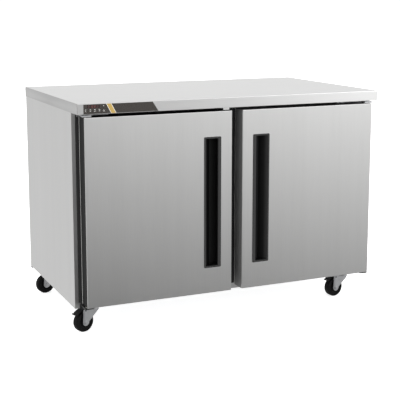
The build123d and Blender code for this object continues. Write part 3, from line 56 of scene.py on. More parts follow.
# ---------------------------------------------------------------- node helpers
class Graph:
    """A small wrapper that adds and links shader nodes."""

    def __init__(self, tree):
        self.tree = tree
        self.nodes = tree.nodes
        self.nodes.clear()

    def add(self, kind, **values):
        node = self.nodes.new(kind)
        for key, value in values.items():
            setattr(node, key, value)
        return node

    def link(self, out, into):
        self.tree.links.new(out, into)

    def math(self, operation, a, b=None, clamp=False):
        node = self.add("ShaderNodeMath", operation=operation, use_clamp=clamp)
        for socket, value in zip(node.inputs, (a, b)):
            if value is None:
                continue
            if isinstance(value, (int, float)):
                socket.default_value = value
            else:
                self.link(value, socket)
        return node.outputs[0]

    def split(self, vector):
        node = self.add("ShaderNodeSeparateXYZ")
        self.link(vector, node.inputs[0])
        return node.outputs

    def object_coords(self):
        return self.add("ShaderNodeTexCoord").outputs["Object"]

    def mapping(self, scale=(1, 1, 1)):
        node = self.add("ShaderNodeMapping")
        node.inputs["Scale"].default_value = scale
        self.link(self.object_coords(), node.inputs["Vector"])
        return node.outputs[0]

    def noise(self, vector, scale=1.0, detail=2.0, roughness=0.5, distortion=0.0):
        node = self.add("ShaderNodeTexNoise")
        node.inputs["Scale"].default_value = scale
        node.inputs["Detail"].default_value = detail
        node.inputs["Roughness"].default_value = roughness
        node.inputs["Distortion"].default_value = distortion
        self.link(vector, node.inputs["Vector"])
        return node.outputs["Fac"]

    def spread(self, value, low, high, from_low=0.0, from_high=1.0):
        node = self.add("ShaderNodeMapRange")
        node.inputs["From Min"].default_value = from_low
        node.inputs["From Max"].default_value = from_high
        node.inputs["To Min"].default_value = low
        node.inputs["To Max"].default_value = high
        self.link(value, node.inputs["Value"])
        return node.outputs[0]

    def tint(self, value, dark, light):
        node = self.add("ShaderNodeMix", data_type="RGBA")
        node.inputs["A"].default_value = (*dark, 1)
        node.inputs["B"].default_value = (*light, 1)
        self.link(value, node.inputs["Factor"])
        return node.outputs["Result"]

    def bump(self, height, strength, distance, normal=None):
        node = self.add("ShaderNodeBump")
        node.inputs["Strength"].default_value = strength
        node.inputs["Distance"].default_value = distance
        self.link(height, node.inputs["Height"])
        if normal is not None:
            self.link(normal, node.inputs["Normal"])
        return node.outputs[0]


def new_material(name):
    """Material with a Principled shader; returns (material, graph, shader)."""
    material = bpy.data.materials.new(name)
    material.use_nodes = True
    graph = Graph(material.node_tree)
    shader = graph.add("ShaderNodeBsdfPrincipled")
    output = graph.add("ShaderNodeOutputMaterial")
    graph.link(shader.outputs[0], output.inputs["Surface"])
    return material, graph, shader


def edge_round(graph, radius=0.0006):
    """Normal that rounds a hard edge in the shading."""
    node = graph.add("ShaderNodeBevel", samples=4)
    node.inputs["Radius"].default_value = radius
    return node.outputs[0]


# ---------------------------------------------------------------- materials
WIDE_EDGE = 0.0008  # shaded rounding of folded sheet and thick mouldings
SCRATCH_SCALE = (9.0, 900.0)  # along and across the grain
STREAK_SCALE = (0.7, 26.0)
MARK_SCALE = (2.2, 2.2, 2.2)
STEEL_SHADES = (0.72, 1.28)  # of the colour, in scratches and beside them


def brushed_steel(name, colour, along, roughness, painted_side_shade=1.0):
    """No. 4 brushed stainless: long scratches along one axis, with faint broad streaks and hand marks.

    A last argument below 1 paints shade on the faces that look to the sides, darkening their colour."""
    material, g, shader = new_material(name)
    fine, broad = ([pair[axis != along] for axis in "XYZ"] for pair in (SCRATCH_SCALE, STREAK_SCALE))
    scratches = g.noise(g.mapping(fine), detail=3.0, roughness=0.65)
    streaks = g.noise(g.mapping(broad), detail=2.0, roughness=0.5)
    marks = g.noise(g.mapping(MARK_SCALE), detail=4.0, roughness=0.6, distortion=0.4)
    shade = g.math("ADD", g.spread(scratches, -0.10, 0.10), g.spread(streaks, -0.05, 0.05))
    shade = g.math("ADD", shade, g.spread(marks, -0.02, 0.02))
    shade = g.math("ADD", shade, 0.5, clamp=True)
    dark, light = ([c * part for c in colour] for part in STEEL_SHADES)
    tone = g.tint(shade, dark, light)
    # painted shade: faces that look to +X or -X get a darker colour
    if painted_side_shade < 1.0:
        facing = g.split(g.add("ShaderNodeNewGeometry").outputs["Normal"])
        painted_side_shade_mix = g.add("ShaderNodeMix", data_type="RGBA", blend_type="MULTIPLY")
        painted_side_shade_mix.inputs["B"].default_value = (painted_side_shade, painted_side_shade, painted_side_shade, 1)
        g.link(g.math("ABSOLUTE", facing["X"]), painted_side_shade_mix.inputs["Factor"])
        g.link(tone, painted_side_shade_mix.inputs["A"])
        tone = painted_side_shade_mix.outputs["Result"]
    g.link(tone, shader.inputs["Base Color"])
    shader.inputs["Metallic"].default_value = 1.0
    rough = g.math("ADD", g.spread(scratches, -0.06, 0.06), g.spread(marks, -0.03, 0.04))
    rough = g.math("ADD", rough, roughness, clamp=True)
    g.link(rough, shader.inputs["Roughness"])
    shader.inputs["Anisotropic"].default_value = 0.55
    tangent = g.add("ShaderNodeTangent", direction_type="RADIAL", axis=along)
    g.link(tangent.outputs[0], shader.inputs["Tangent"])
    g.link(g.bump(scratches, 0.10, 0.0002, edge_round(g, WIDE_EDGE)), shader.inputs["Normal"])
    return material


def plated_metal(name, colour, roughness, mottle=40.0, contrast=0.12):
    """Zinc plate or bare metal: a fine mottle in colour and roughness."""
    material, g, shader = new_material(name)
    cloud = g.noise(g.mapping(), scale=mottle, detail=4.0, roughness=0.6)
    fine = g.noise(g.mapping(), scale=mottle * 12, detail=2.0)
    dark = [c * (1 - contrast) for c in colour]
    light = [min(1.0, c * (1 + contrast)) for c in colour]
    g.link(g.tint(cloud, dark, light), shader.inputs["Base Color"])
    shader.inputs["Metallic"].default_value = 1.0
    rough = g.math("ADD", g.spread(cloud, -0.08, 0.08), g.spread(fine, roughness - 0.04, roughness + 0.04))
    g.link(rough, shader.inputs["Roughness"])
    g.link(g.bump(fine, 0.08, 0.0002, edge_round(g)), shader.inputs["Normal"])
    return material


def galvanised(name):
    """Hot-dip galvanised sheet with a soft crystal spangle."""
    material, g, shader = new_material(name)
    cells = g.add("ShaderNodeTexVoronoi", feature="SMOOTH_F1")
    cells.inputs["Scale"].default_value = 240.0
    cells.inputs["Smoothness"].default_value = 0.7
    g.link(g.mapping(), cells.inputs["Vector"])
    level = g.add("ShaderNodeSeparateColor")
    g.link(cells.outputs["Color"], level.inputs[0])
    g.link(g.tint(level.outputs[0], (0.42, 0.43, 0.44), (0.50, 0.51, 0.515)), shader.inputs["Base Color"])
    shader.inputs["Metallic"].default_value = 1.0
    g.link(g.spread(level.outputs[1], 0.37, 0.45), shader.inputs["Roughness"])
    g.link(edge_round(g), shader.inputs["Normal"])
    return material


def moulded_plastic(name, colour, roughness=0.45, texture=1500.0, strength=0.12, specular=0.5, cloudy=0.15):
    """Moulded or extruded plastic with a fine spark-eroded texture and a slight tone change."""
    material, g, shader = new_material(name)
    grain = g.noise(g.mapping(), scale=texture, detail=2.0)
    cloud = g.noise(g.mapping(), scale=14.0, detail=3.0)
    dark = [c * (1 - cloudy) for c in colour]
    light = [min(1.0, c * (1 + cloudy)) for c in colour]
    g.link(g.tint(cloud, dark, light), shader.inputs["Base Color"])
    g.link(g.spread(grain, roughness - 0.06, roughness + 0.06), shader.inputs["Roughness"])
    shader.inputs["Specular IOR Level"].default_value = specular
    g.link(g.bump(grain, strength, 0.0002, edge_round(g)), shader.inputs["Normal"])
    return material


HANDLE_SHADE_DEPTH = (-0.3594, -0.3450)  # Y of the rim and of the darkest painted shade in the pocket
HANDLE_RIM = (0.026, 0.026, 0.026)
# painted shade: the pocket's darkest colour, standing in for the shade of the recess
HANDLE_POCKET_SHADE = (0.0022, 0.0022, 0.0022)


def handle_plastic(name):
    """Black glass-filled plastic: grained, with painted shade that darkens the colour from the rim into the
    pocket.
    """
    material, g, shader = new_material(name)
    grain = g.noise(g.mapping(), scale=1500.0, detail=2.0)
    # painted shade: the colour darkens with depth into the pocket
    depth = g.spread(g.split(g.object_coords())["Y"], 0.0, 1.0, *HANDLE_SHADE_DEPTH)
    g.link(g.tint(depth, HANDLE_RIM, HANDLE_POCKET_SHADE), shader.inputs["Base Color"])
    g.link(g.spread(grain, 0.42, 0.54), shader.inputs["Roughness"])
    shader.inputs["Specular IOR Level"].default_value = 0.16
    g.link(g.bump(grain, 0.12, 0.0002, edge_round(g, WIDE_EDGE)), shader.inputs["Normal"])
    return material


def rubber(name, colour, roughness):
    """Rubber with a dusty bloom and fine scuffs."""
    material, g, shader = new_material(name)
    dust = g.noise(g.mapping(), scale=60.0, detail=5.0, roughness=0.7)
    grain = g.noise(g.mapping(), scale=900.0, detail=2.0)
    light = [c + 0.005 for c in colour]
    g.link(g.tint(dust, colour, light), shader.inputs["Base Color"])
    g.link(g.spread(dust, roughness - 0.08, roughness + 0.12), shader.inputs["Roughness"])
    shader.inputs["Specular IOR Level"].default_value = 0.07
    g.link(g.bump(grain, 0.15, 0.0003, edge_round(g)), shader.inputs["Normal"])
    return material


def fins(name):
    """Aluminium coil: closely spaced plates along X, with painted shade in dark bands between them."""
    material, g, shader = new_material(name)
    wave = g.add("ShaderNodeTexWave", wave_type="BANDS", bands_direction="X")
    wave.inputs["Scale"].default_value = 100.0
    wave.inputs["Distortion"].default_value = 0.4
    wave.inputs["Detail Scale"].default_value = 0.3
    g.link(g.mapping(), wave.inputs["Vector"])
    # painted shade: the dark tone is the shade between the plates
    g.link(g.tint(wave.outputs["Fac"], (0.05, 0.05, 0.055), (0.62, 0.63, 0.64)), shader.inputs["Base Color"])
    shader.inputs["Metallic"].default_value = 0.9
    g.link(g.spread(wave.outputs["Fac"], 0.55, 0.35), shader.inputs["Roughness"])
    g.link(g.bump(wave.outputs["Fac"], 0.8, 0.001), shader.inputs["Normal"])
    return material


def foam_material(name):
    """Cut polyurethane foam: pale yellow with fine open cells."""
    material, g, shader = new_material(name)
    cells = g.add("ShaderNodeTexVoronoi", feature="F1")
    cells.inputs["Scale"].default_value = 700.0
    g.link(g.mapping(), cells.inputs["Vector"])
    cloud = g.noise(g.mapping(), scale=20.0, detail=3.0)
    g.link(g.tint(cloud, (0.70, 0.58, 0.32), (0.84, 0.74, 0.48)), shader.inputs["Base Color"])
    shader.inputs["Roughness"].default_value = 0.95
    g.link(g.bump(cells.outputs["Distance"], 0.5, 0.0005), shader.inputs["Normal"])
    return material


def printed_ink(name, colour, glow=0.0):
    """Screen-printed ink or a lit segment: an even colour with a fine halftone. Glow makes it emit: a lamp in a
    lit segment, painted light in ink.
    """
    material, g, shader = new_material(name)
    dots = g.noise(g.mapping(), scale=2600.0, detail=2.0)
    dark = [c * 0.9 for c in colour]
    g.link(g.tint(dots, dark, colour), shader.inputs["Base Color"])
    g.link(g.spread(dots, 0.32, 0.46), shader.inputs["Roughness"])
    if glow:
        g.link(g.tint(dots, dark, colour), shader.inputs["Emission Color"])
        shader.inputs["Emission Strength"].default_value = glow
    return material


def build_materials():
    """Every material: the slots of the record, the tones of NODE_FINISH and the prints."""
    return {
        # the worktop's side faces get painted shade, at 0.66 of their colour
        "worktop_steel": brushed_steel("worktop_steel", (0.60, 0.60, 0.597), "X", 0.36, painted_side_shade=0.66),
        "shell_steel": brushed_steel("shell_steel", (0.53, 0.53, 0.527), "Z", 0.38),
        "door_steel": brushed_steel("door_steel", (0.62, 0.62, 0.615), "Z", 0.34),
        "galvanised": galvanised("galvanised"),
        "foam": foam_material("foam"),
        "liner": plated_metal("liner", (0.72, 0.73, 0.74), 0.42, 8.0, 0.05),
        "black_trim": moulded_plastic("black_trim", (0.014, 0.014, 0.014), 0.55, specular=0.07),
        # painted light: a lighter copy of black_trim for the right door's edge, standing in for light in the gap
        # between the doors
        "edge_trim_painted_light": moulded_plastic("edge_trim_painted_light", (0.125, 0.125, 0.125), 0.45, specular=0.30),
        "breaker_trim": moulded_plastic("breaker_trim", (0.022, 0.022, 0.022), 0.50, specular=0.18),
        "black_bracket": moulded_plastic("black_bracket", (0.010, 0.010, 0.010), 0.35, 500.0, 0.06, 0.30),
        "zinc": plated_metal("zinc", (0.46, 0.465, 0.475), 0.34, 60.0, 0.14),
        "white_panel": moulded_plastic("white_panel", (0.46, 0.46, 0.45), 0.42, specular=0.3, cloudy=0.03),
        "gasket": rubber("gasket", (0.016, 0.016, 0.016), 0.5),
        "handle_plastic": handle_plastic("handle_plastic"),
        "nylon": moulded_plastic("nylon", (0.62, 0.61, 0.56), 0.5, cloudy=0.04),
        "coated_wire": moulded_plastic("coated_wire", (0.66, 0.66, 0.63), 0.3, 400.0, 0.05, cloudy=0.04),
        "overlay": moulded_plastic("overlay", (0.024, 0.020, 0.017), 0.28, 2500.0, 0.05),
        "board": moulded_plastic("board", (0.02, 0.012, 0.012), 0.2, 2500.0, 0.02),
        "button": moulded_plastic("button", (0.05, 0.045, 0.04), 0.35),
        "fins": fins("fins"),
        "fan_plastic": moulded_plastic("fan_plastic", (0.03, 0.03, 0.03), 0.4),
        "motor": plated_metal("motor", (0.20, 0.20, 0.21), 0.4),
        "black_paint": moulded_plastic("black_paint", (0.010, 0.010, 0.010), 0.22, 300.0, 0.04),
        "copper": plated_metal("copper", (0.80, 0.46, 0.32), 0.28),
        "rubber": rubber("rubber", (0.003, 0.003, 0.003), 0.55),
        "pedal": moulded_plastic("pedal", (0.006, 0.006, 0.006), 0.45, specular=0.10),
        "wheel_core": moulded_plastic("wheel_core", (0.006, 0.006, 0.006), 0.42, specular=0.08),
        "amber_ink": printed_ink("amber_ink", (0.37, 0.25, 0.062)),
        # painted light: the white ink glows though it is no lamp
        "white_ink": printed_ink("white_ink", (0.80, 0.80, 0.77), 0.10),
        "segment_lit": printed_ink("segment_lit", (0.13, 0.022, 0.018), 0.03),
        "segment_dark": printed_ink("segment_dark", (0.050, 0.012, 0.010)),
    }


NODE_FINISH = {  # nodes whose tone differs from their slot's
    # painted light: the right door's edge trim is lighter than the left's
    "door_edge_trim_right": "edge_trim_painted_light",
    "breaker_frame": "breaker_trim",
    "bottom_hinge_brackets": "black_bracket",
}


def paint_nodes():
    """Gives every CAD node the material of its slot, or its own tone."""
    for entry in frame["record"]["subparts"]:
        mesh = NODES[entry["node"]].data
        mesh.materials.clear()
        mesh.materials.append(MATERIALS[NODE_FINISH.get(entry["node"], entry["material_slot"])])


# ---------------------------------------------------------------- mesh helpers
def make_piece(name, bm, body, slot, material=None, replaced=(), crease=35.0):
    """Turns a bmesh into a piece that rides on a body and takes the finish of a slot."""
    bmesh.ops.recalc_face_normals(bm, faces=bm.faces)
    mesh = bpy.data.meshes.new(name)
    bm.to_mesh(mesh)
    bm.free()
    mesh.shade_smooth()
    mesh.set_sharp_from_angle(angle=math.radians(crease))
    mesh.materials.append(MATERIALS[material or slot])
    piece = bpy.data.objects.new(name, mesh)
    bpy.context.scene.collection.objects.link(piece)
    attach(piece, body)
    if replaced:
        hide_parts(*replaced)


def frame_at(origin, axis):
    """Matrix that puts local +Z along an axis at a point."""
    turn = Vector(axis).normalized().to_track_quat("Z", "Y").to_matrix().to_4x4()
    return Matrix.Translation(origin) @ turn


def skin_rings(bm, rings, closed=False):
    """Faces between successive closed loops of vertices; a loop may be a single point."""
    pairs = list(zip(rings, rings[1:]))
    if closed:
        pairs.append((rings[-1], rings[0]))
    for low, high in pairs:
        count = max(len(low), len(high))
        for step in range(count):
            after = (step + 1) % count
            corners = [
                low[step % len(low)], low[after % len(low)],
                high[after % len(high)], high[step % len(high)],
            ]  # fmt: skip
            unique = list(dict.fromkeys(corners))
            if len(unique) > 2:
                bm.faces.new(unique)


def circle(bm, place, radius, height, segments):
    """Ring of vertices about the local Z axis of a matrix."""
    ring = []
    for step in range(segments):
        angle = 2 * math.pi * step / segments
        point = Vector((radius * math.cos(angle), radius * math.sin(angle), height))
        ring.append(bm.verts.new(place @ point))
    return ring


def lathe(bm, profile, place, segments=48, closed=False):
    """Turns (radius, height) points about the local Z axis of a matrix."""
    rings = [circle(bm, place, radius, height, segments if radius else 1) for radius, height in profile]
    skin_rings(bm, rings, closed)


def bevelled_block(bm, low, high, bevel, place):
    """Block between two local corners, with rounded edges."""
    low, high = Vector(low), Vector(high)
    made = bmesh.ops.create_cube(bm, size=1.0)["verts"]
    shape = Matrix.Translation((low + high) / 2) @ Matrix.Diagonal((*(high - low), 1))
    bmesh.ops.transform(bm, matrix=place @ shape, verts=made)
    edges = list({edge for vert in made for edge in vert.link_edges})
    bmesh.ops.bevel(bm, geom=edges, offset=bevel, segments=2, profile=0.5, affect="EDGES")


def shell_grid(bm, rows, depth):
    """Thin shell: a grid of points, the same grid moved by depth, and the rim between them."""
    front = [[bm.verts.new(point) for point in row] for row in rows]
    back = [[bm.verts.new(Vector(point) + Vector(depth)) for point in row] for row in rows]
    last_row, last_col = len(rows) - 1, len(rows[0]) - 1
    for i in range(last_row):
        for j in range(last_col):
            for grid in (front, back):
                bm.faces.new((grid[i][j], grid[i][j + 1], grid[i + 1][j + 1], grid[i + 1][j]))
    for j in range(last_col):
        for i in (0, last_row):
            bm.faces.new((front[i][j], front[i][j + 1], back[i][j + 1], back[i][j]))
    for i in range(last_row):
        for j in (0, last_col):
            bm.faces.new((front[i][j], front[i + 1][j], back[i + 1][j], back[i][j]))


def plate(bm, outline, y_front, thickness):
    """Flat plate that faces -Y, with an outline of (x, z) points."""
    rings = [[bm.verts.new((x, y, z)) for x, z in outline] for y in (y_front, y_front + thickness)]
    skin_rings(bm, rings)
    for ring in rings:
        bm.faces.new(ring)


TUBE_SIDES = 12


def tube(bm, points, radius):
    """Round wire along a line of points."""
    rings = []
    for index, point in enumerate(points):
        before = points[max(index - 1, 0)]
        after = points[min(index + 1, len(points) - 1)]
        rings.append(circle(bm, frame_at(point, after - before), radius, 0, TUBE_SIDES))
    skin_rings(bm, rings)
    bm.faces.new(rings[0])
    bm.faces.new(rings[-1])


WIRE_SIDES = 10


def wire_circle(bm, radius, height, wire, place):
    """Ring of round wire about the local Z axis."""
    profile = []
    for step in range(WIRE_SIDES):
        angle = 2 * math.pi * step / WIRE_SIDES
        profile.append((radius + wire * math.cos(angle), height + wire * math.sin(angle)))
    lathe(bm, profile, place, closed=True)


# ---------------------------------------------------------------- doors
GASKET_PROFILE = (
    (0, 0), (18, 0), (18, 1.4), (14.6, 1.8), (15.6, 3.4), (13.4, 5.0), (15.4, 6.4), (14.2, 7.4),
    (15.7, 7.9), (15.9, 11.0), (15.1, 11.6), (3.9, 11.6), (3.1, 11.0), (3.3, 7.9), (4.8, 7.4),
    (2.8, 6.4), (4.8, 5.0), (2.6, 3.4), (3.6, 1.8), (0, 1.4),
)  # fmt: skip  # millimetres: inward from the outline, and out from the inner panel


def build_gaskets():
    """Magnetic door gaskets with two folds of bellows and mitred corners."""
    for side in SIDES:
        low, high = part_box(f"door_gasket_{side}")
        bm = bmesh.new()
        rings = []
        for inward, out in GASKET_PROFILE:
            inset = inward / 1000
            y = low.y + out / 1000
            x0, x1 = low.x + inset, high.x - inset
            z0, z1 = low.z + inset, high.z - inset
            corners = ((x0, y, z0), (x1, y, z0), (x1, y, z1), (x0, y, z1))
            rings.append([bm.verts.new(corner) for corner in corners])
        skin_rings(bm, rings, closed=True)
        make_piece(
            f"door_gasket_bellows_{side}", bm, f"{side}_door", "gasket",
            replaced=(f"door_gasket_{side}",), crease=20.0,
        )  # fmt: skip


# ---------------------------------------------------------------- control panel
BUTTONS = ("standby", "down", "up", "set")
PRINT_T = 0.00012  # thickness of every print
BAND_TOP = (-0.5046, -0.4861)  # X of the band at the label's upper edge
BAND_LOW = (-0.4869, -0.4687)
BAND_EDGE = 0.0011
READING = " 38 "
SEGMENTS = {" ": "", "3": "abcdg", "8": "abcdefg"}
DIGIT_X0 = -0.5665
DIGIT_Z = 0.8385
DIGIT_PITCH = 0.0100
DIGIT_DEPTH = 0.0007  # of the segments, behind the board's front
DIGIT_H = 0.0078
DIGIT_W = 0.0046
DIGIT_BAR = 0.00105
DIGIT_GAP = 0.00025
DIGIT_SLANT = 0.10


def bar_outline(x, z, length, upright):
    """Six-sided bar of a segment display, centred on (x, z)."""
    half, wide = length / 2, DIGIT_BAR / 2
    flat = (
        (-half, 0), (-half + wide, wide), (half - wide, wide),
        (half, 0), (half - wide, -wide), (-half + wide, -wide),
    )  # fmt: skip
    return [(x + b, z + a) if upright else (x + a, z + b) for a, b in flat]


def digit_bars(x, z):
    """Outline of each of the seven bars of a digit centred on (x, z)."""
    across, up = DIGIT_W - DIGIT_GAP, DIGIT_H / 2 - DIGIT_GAP
    left, right = x - DIGIT_W / 2, x + DIGIT_W / 2
    quarter = DIGIT_H / 4
    bars = {
        "a": bar_outline(x, z + DIGIT_H / 2, across, False),
        "b": bar_outline(right, z + quarter, up, True),
        "c": bar_outline(right, z - quarter, up, True),
        "d": bar_outline(x, z - DIGIT_H / 2, across, False),
        "e": bar_outline(left, z - quarter, up, True),
        "f": bar_outline(left, z + quarter, up, True),
        "g": bar_outline(x, z, across, False),
    }
    return {key: [(px + (pz - z) * DIGIT_SLANT, pz) for px, pz in outline] for key, outline in bars.items()}


def build_display():
    """Seven-segment digits on the display block, lit and unlit bars apart."""
    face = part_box("control_board")[0].y + DIGIT_DEPTH
    lit, dark = bmesh.new(), bmesh.new()
    for index, digit in enumerate(READING):
        for key, outline in digit_bars(DIGIT_X0 + index * DIGIT_PITCH, DIGIT_Z).items():
            plate(lit if key in SEGMENTS[digit] else dark, outline, face, PRINT_T)
    make_piece("display_segments_lit", lit, "cabinet", "board", "segment_lit")
    make_piece("display_segments_dark", dark, "cabinet", "board", "segment_dark")


ARC_STEPS = 14
CORNER_STEPS = 4


def arc_outline(x, z, radius, wide, start, end):
    """Outline of a thick arc, in degrees from +X."""
    outer, inner = [], []
    for step in range(ARC_STEPS + 1):
        angle = math.radians(start + (end - start) * step / ARC_STEPS)
        for ring, r in ((outer, radius + wide / 2), (inner, radius - wide / 2)):
            ring.append((x + r * math.cos(angle), z + r * math.sin(angle)))
    return outer + inner[::-1]


def rounded_rect(half_x, half_z, radius):
    """Points of a rounded rectangle about the origin."""
    points = []
    for quarter, (sx, sz) in enumerate(((1, 1), (-1, 1), (-1, -1), (1, -1))):
        for step in range(CORNER_STEPS + 1):
            angle = math.radians(90 * quarter + 90 * step / CORNER_STEPS)
            points.append((
                sx * (half_x - radius) + radius * math.cos(angle),
                sz * (half_z - radius) + radius * math.sin(angle),
            ))  # fmt: skip
    return points


MARK_R = 0.0013
MARK_LINE = 0.0004
MARK_DEPTH = 0.00014  # of the mark's face, behind the cap's edge
STANDBY_ARC = (125, 415)
STANDBY_BAR = (0.0003, 0.0018)
SET_ARCS = ((2, 180), (182, 360))
SET_DOT = (0.0003, 0.0005, 0, 359)
ARROW_HALF = 0.0017
BUTTON_FLANGE = 0.0010  # the CAD button's flange, behind the label
CAP_CORNER = 0.0012
CAP_CORNER_LEAST = 0.0003
CAP_LEVELS = (  # depth behind the button's front, and inset from its outline
    (0.0034, 0.0), (0.0007, 0.0), (0.00035, 0.0), (0.00012, 0.00012),
    (0.00005, 0.00035), (0.00022, 0.0011), (0.00024, 0.0017),
)  # fmt: skip


def icon_outlines(name, x, z):
    """Plain function marks: a power sign, two arrows and a ring with a dot."""
    if name == "standby":
        left, right = x - MARK_LINE / 2, x + MARK_LINE / 2
        low, high = (z + end for end in STANDBY_BAR)
        bar = [(left, low), (right, low), (right, high), (left, high)]
        return [arc_outline(x, z, MARK_R, MARK_LINE, *STANDBY_ARC), bar]
    if name == "set":
        ring = [arc_outline(x, z, MARK_R, MARK_LINE, *arc) for arc in SET_ARCS]
        return [*ring, arc_outline(x, z, *SET_DOT)]
    tip = MARK_R if name == "up" else -MARK_R
    return [[(x - ARROW_HALF, z - tip), (x + ARROW_HALF, z - tip), (x, z + tip)]]


def build_buttons():
    """Button caps with a dished face and a white mark each."""
    for name in BUTTONS:
        low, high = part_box(f"button_{name}")
        x, z = (low.x + high.x) / 2, (low.z + high.z) / 2
        half_x, half_z = (high.x - low.x) / 2 - BUTTON_FLANGE, (high.z - low.z) / 2 - BUTTON_FLANGE
        bm = bmesh.new()
        rings = []
        for depth, inset in CAP_LEVELS:
            corner = max(CAP_CORNER - inset, CAP_CORNER_LEAST)
            outline = rounded_rect(half_x - inset, half_z - inset, corner)
            rings.append([bm.verts.new((x + px, low.y + depth, z + pz)) for px, pz in outline])
        skin_rings(bm, rings)
        bm.faces.new(rings[-1])
        bm.faces.new(rings[0])
        make_piece(f"button_cap_{name}", bm, f"{name}_button", "button", replaced=(f"button_{name}",))
        marks = bmesh.new()
        for outline in icon_outlines(name, x, z):
            plate(marks, outline, low.y + MARK_DEPTH, PRINT_T)
        make_piece(f"button_mark_{name}", marks, f"{name}_button", "button", "white_ink")


BEZEL_AT = (-0.513, 0.823)
BEZEL = ((0.0022, -0.0001), (0.0022, 0.00025), (0.0027, 0.00025), (0.0029, -0.0001))
LAMP_AT = (-0.514, 0.8405)
LAMP = ((0, 0.0004), (0.0006, 0.00035), (0.0010, 0.0001), (0.0011, -0.0001))
LEGEND_GAP = 0.0012  # from a button up to its bar
LEGEND_HALF = 0.0026
LEGEND_H = 0.0009


def build_overlay_print():
    """Amber band with pale edges, a bar over each button, a bezel and a lamp on the control label."""
    low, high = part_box("control_overlay")
    face = low.y - PRINT_T / 2
    band = bmesh.new()
    edge = BAND_EDGE
    outline = [
        (BAND_LOW[0] + edge, low.z), (BAND_LOW[1] - edge, low.z),
        (BAND_TOP[1] - edge, high.z), (BAND_TOP[0] + edge, high.z),
    ]  # fmt: skip
    plate(band, outline, face, PRINT_T)
    make_piece("overlay_band", band, "cabinet", "overlay", "amber_ink")
    marks = bmesh.new()
    for x0, x1 in ((BAND_LOW[0], BAND_TOP[0]), (BAND_LOW[1] - edge, BAND_TOP[1] - edge)):
        plate(marks, [(x0, low.z), (x0 + edge, low.z), (x1 + edge, high.z), (x1, high.z)], face, PRINT_T)
    for (x, z), profile, segments, closed in ((BEZEL_AT, BEZEL, 32, True), (LAMP_AT, LAMP, 24, False)):
        lathe(marks, profile, frame_at((x, low.y, z), (0, -1, 0)), segments, closed)
    for name in BUTTONS:
        button_low, button_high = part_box(f"button_{name}")
        centre = (button_low.x + button_high.x) / 2
        left, right = centre - LEGEND_HALF, centre + LEGEND_HALF
        z0 = button_high.z + LEGEND_GAP
        z1 = z0 + LEGEND_H
        plate(marks, [(left, z0), (right, z0), (right, z1), (left, z1)], face, PRINT_T)
    make_piece("overlay_marks", marks, "cabinet", "overlay", "white_ink")


# ---------------------------------------------------------------- casters
TREAD_HALF = (  # radius and height above the middle plane, in millimetres
    (27.0, 10.8), (27.3, 12.3), (28.3, 13.0), (33.4, 13.0), (35.4, 12.4), (36.9, 11.0), (37.8, 9.0),
    (38.0, 6.6), (38.0, 5.2), (37.5, 4.9), (37.5, 4.5), (38.0, 4.2),
)  # fmt: skip
CORE_HALF = (
    (4.05, 0.0), (4.05, 14.9), (6.4, 14.9), (6.8, 14.5), (9.0, 14.5), (9.4, 14.9), (9.9, 14.3),
    (10.6, 9.0), (11.6, 8.1), (20.2, 8.1), (21.4, 9.0), (21.9, 10.6), (22.6, 11.0), (26.4, 11.0),
    (27.0, 10.6),
)  # fmt: skip
WHEEL_SEGMENTS = 96
RIBS = 8
RIB_LOW = (0.0098, -0.0009, -0.0104)
RIB_HIGH = (0.0216, 0.0009, 0.0104)
RIB_BEVEL = 0.0004
SEAL_PROFILE = (
    (0.0240, 0.0868), (0.0256, 0.0868), (0.0262, 0.0875), (0.0262, 0.0885), (0.0250, 0.0905),
    (0.0246, 0.0960), (0.0262, 0.0978), (0.0268, 0.0986), (0.0240, 0.0986),
)  # fmt: skip


def mirrored(half):
    """Closed profile in metres from the half above the middle plane."""
    upper = [(radius / 1000, height / 1000) for radius, height in half]
    lower = [(radius, -height) for radius, height in reversed(upper) if height > 0]
    return upper + lower


def build_wheels():
    """Caster wheels: a grooved rubber tread on a ribbed plastic core."""
    for corner in CORNERS:
        joint = JOINTS[f"wheel_roll_{corner}"]
        place = frame_at(joint["pos_m"], joint["axis"])
        body = f"wheel_{corner}"
        tread = bmesh.new()
        lathe(tread, mirrored(TREAD_HALF), place, WHEEL_SEGMENTS, closed=True)
        make_piece(f"wheel_tread_{corner}", tread, body, "rubber", replaced=(f"caster_wheel_{corner}",))
        core = bmesh.new()
        lathe(core, mirrored(CORE_HALF), place, WHEEL_SEGMENTS, closed=True)
        for step in range(RIBS):
            turned = place @ Matrix.Rotation(2 * math.pi * step / RIBS, 4, "Z")
            bevelled_block(core, RIB_LOW, RIB_HIGH, RIB_BEVEL, turned)
        make_piece(f"wheel_core_{corner}", core, body, "rubber", "wheel_core")


def build_caster_seals():
    """Pressed dust seals between the mounting plates and the swivelling crowns."""
    bm = bmesh.new()
    for corner in CORNERS:
        x, y, _ = JOINTS[f"caster_swivel_{corner}"]["pos_m"]
        lathe(bm, SEAL_PROFILE, Matrix.Translation((x, y, 0)), 64, closed=True)
    make_piece("caster_dust_seals", bm, "cabinet", "zinc")


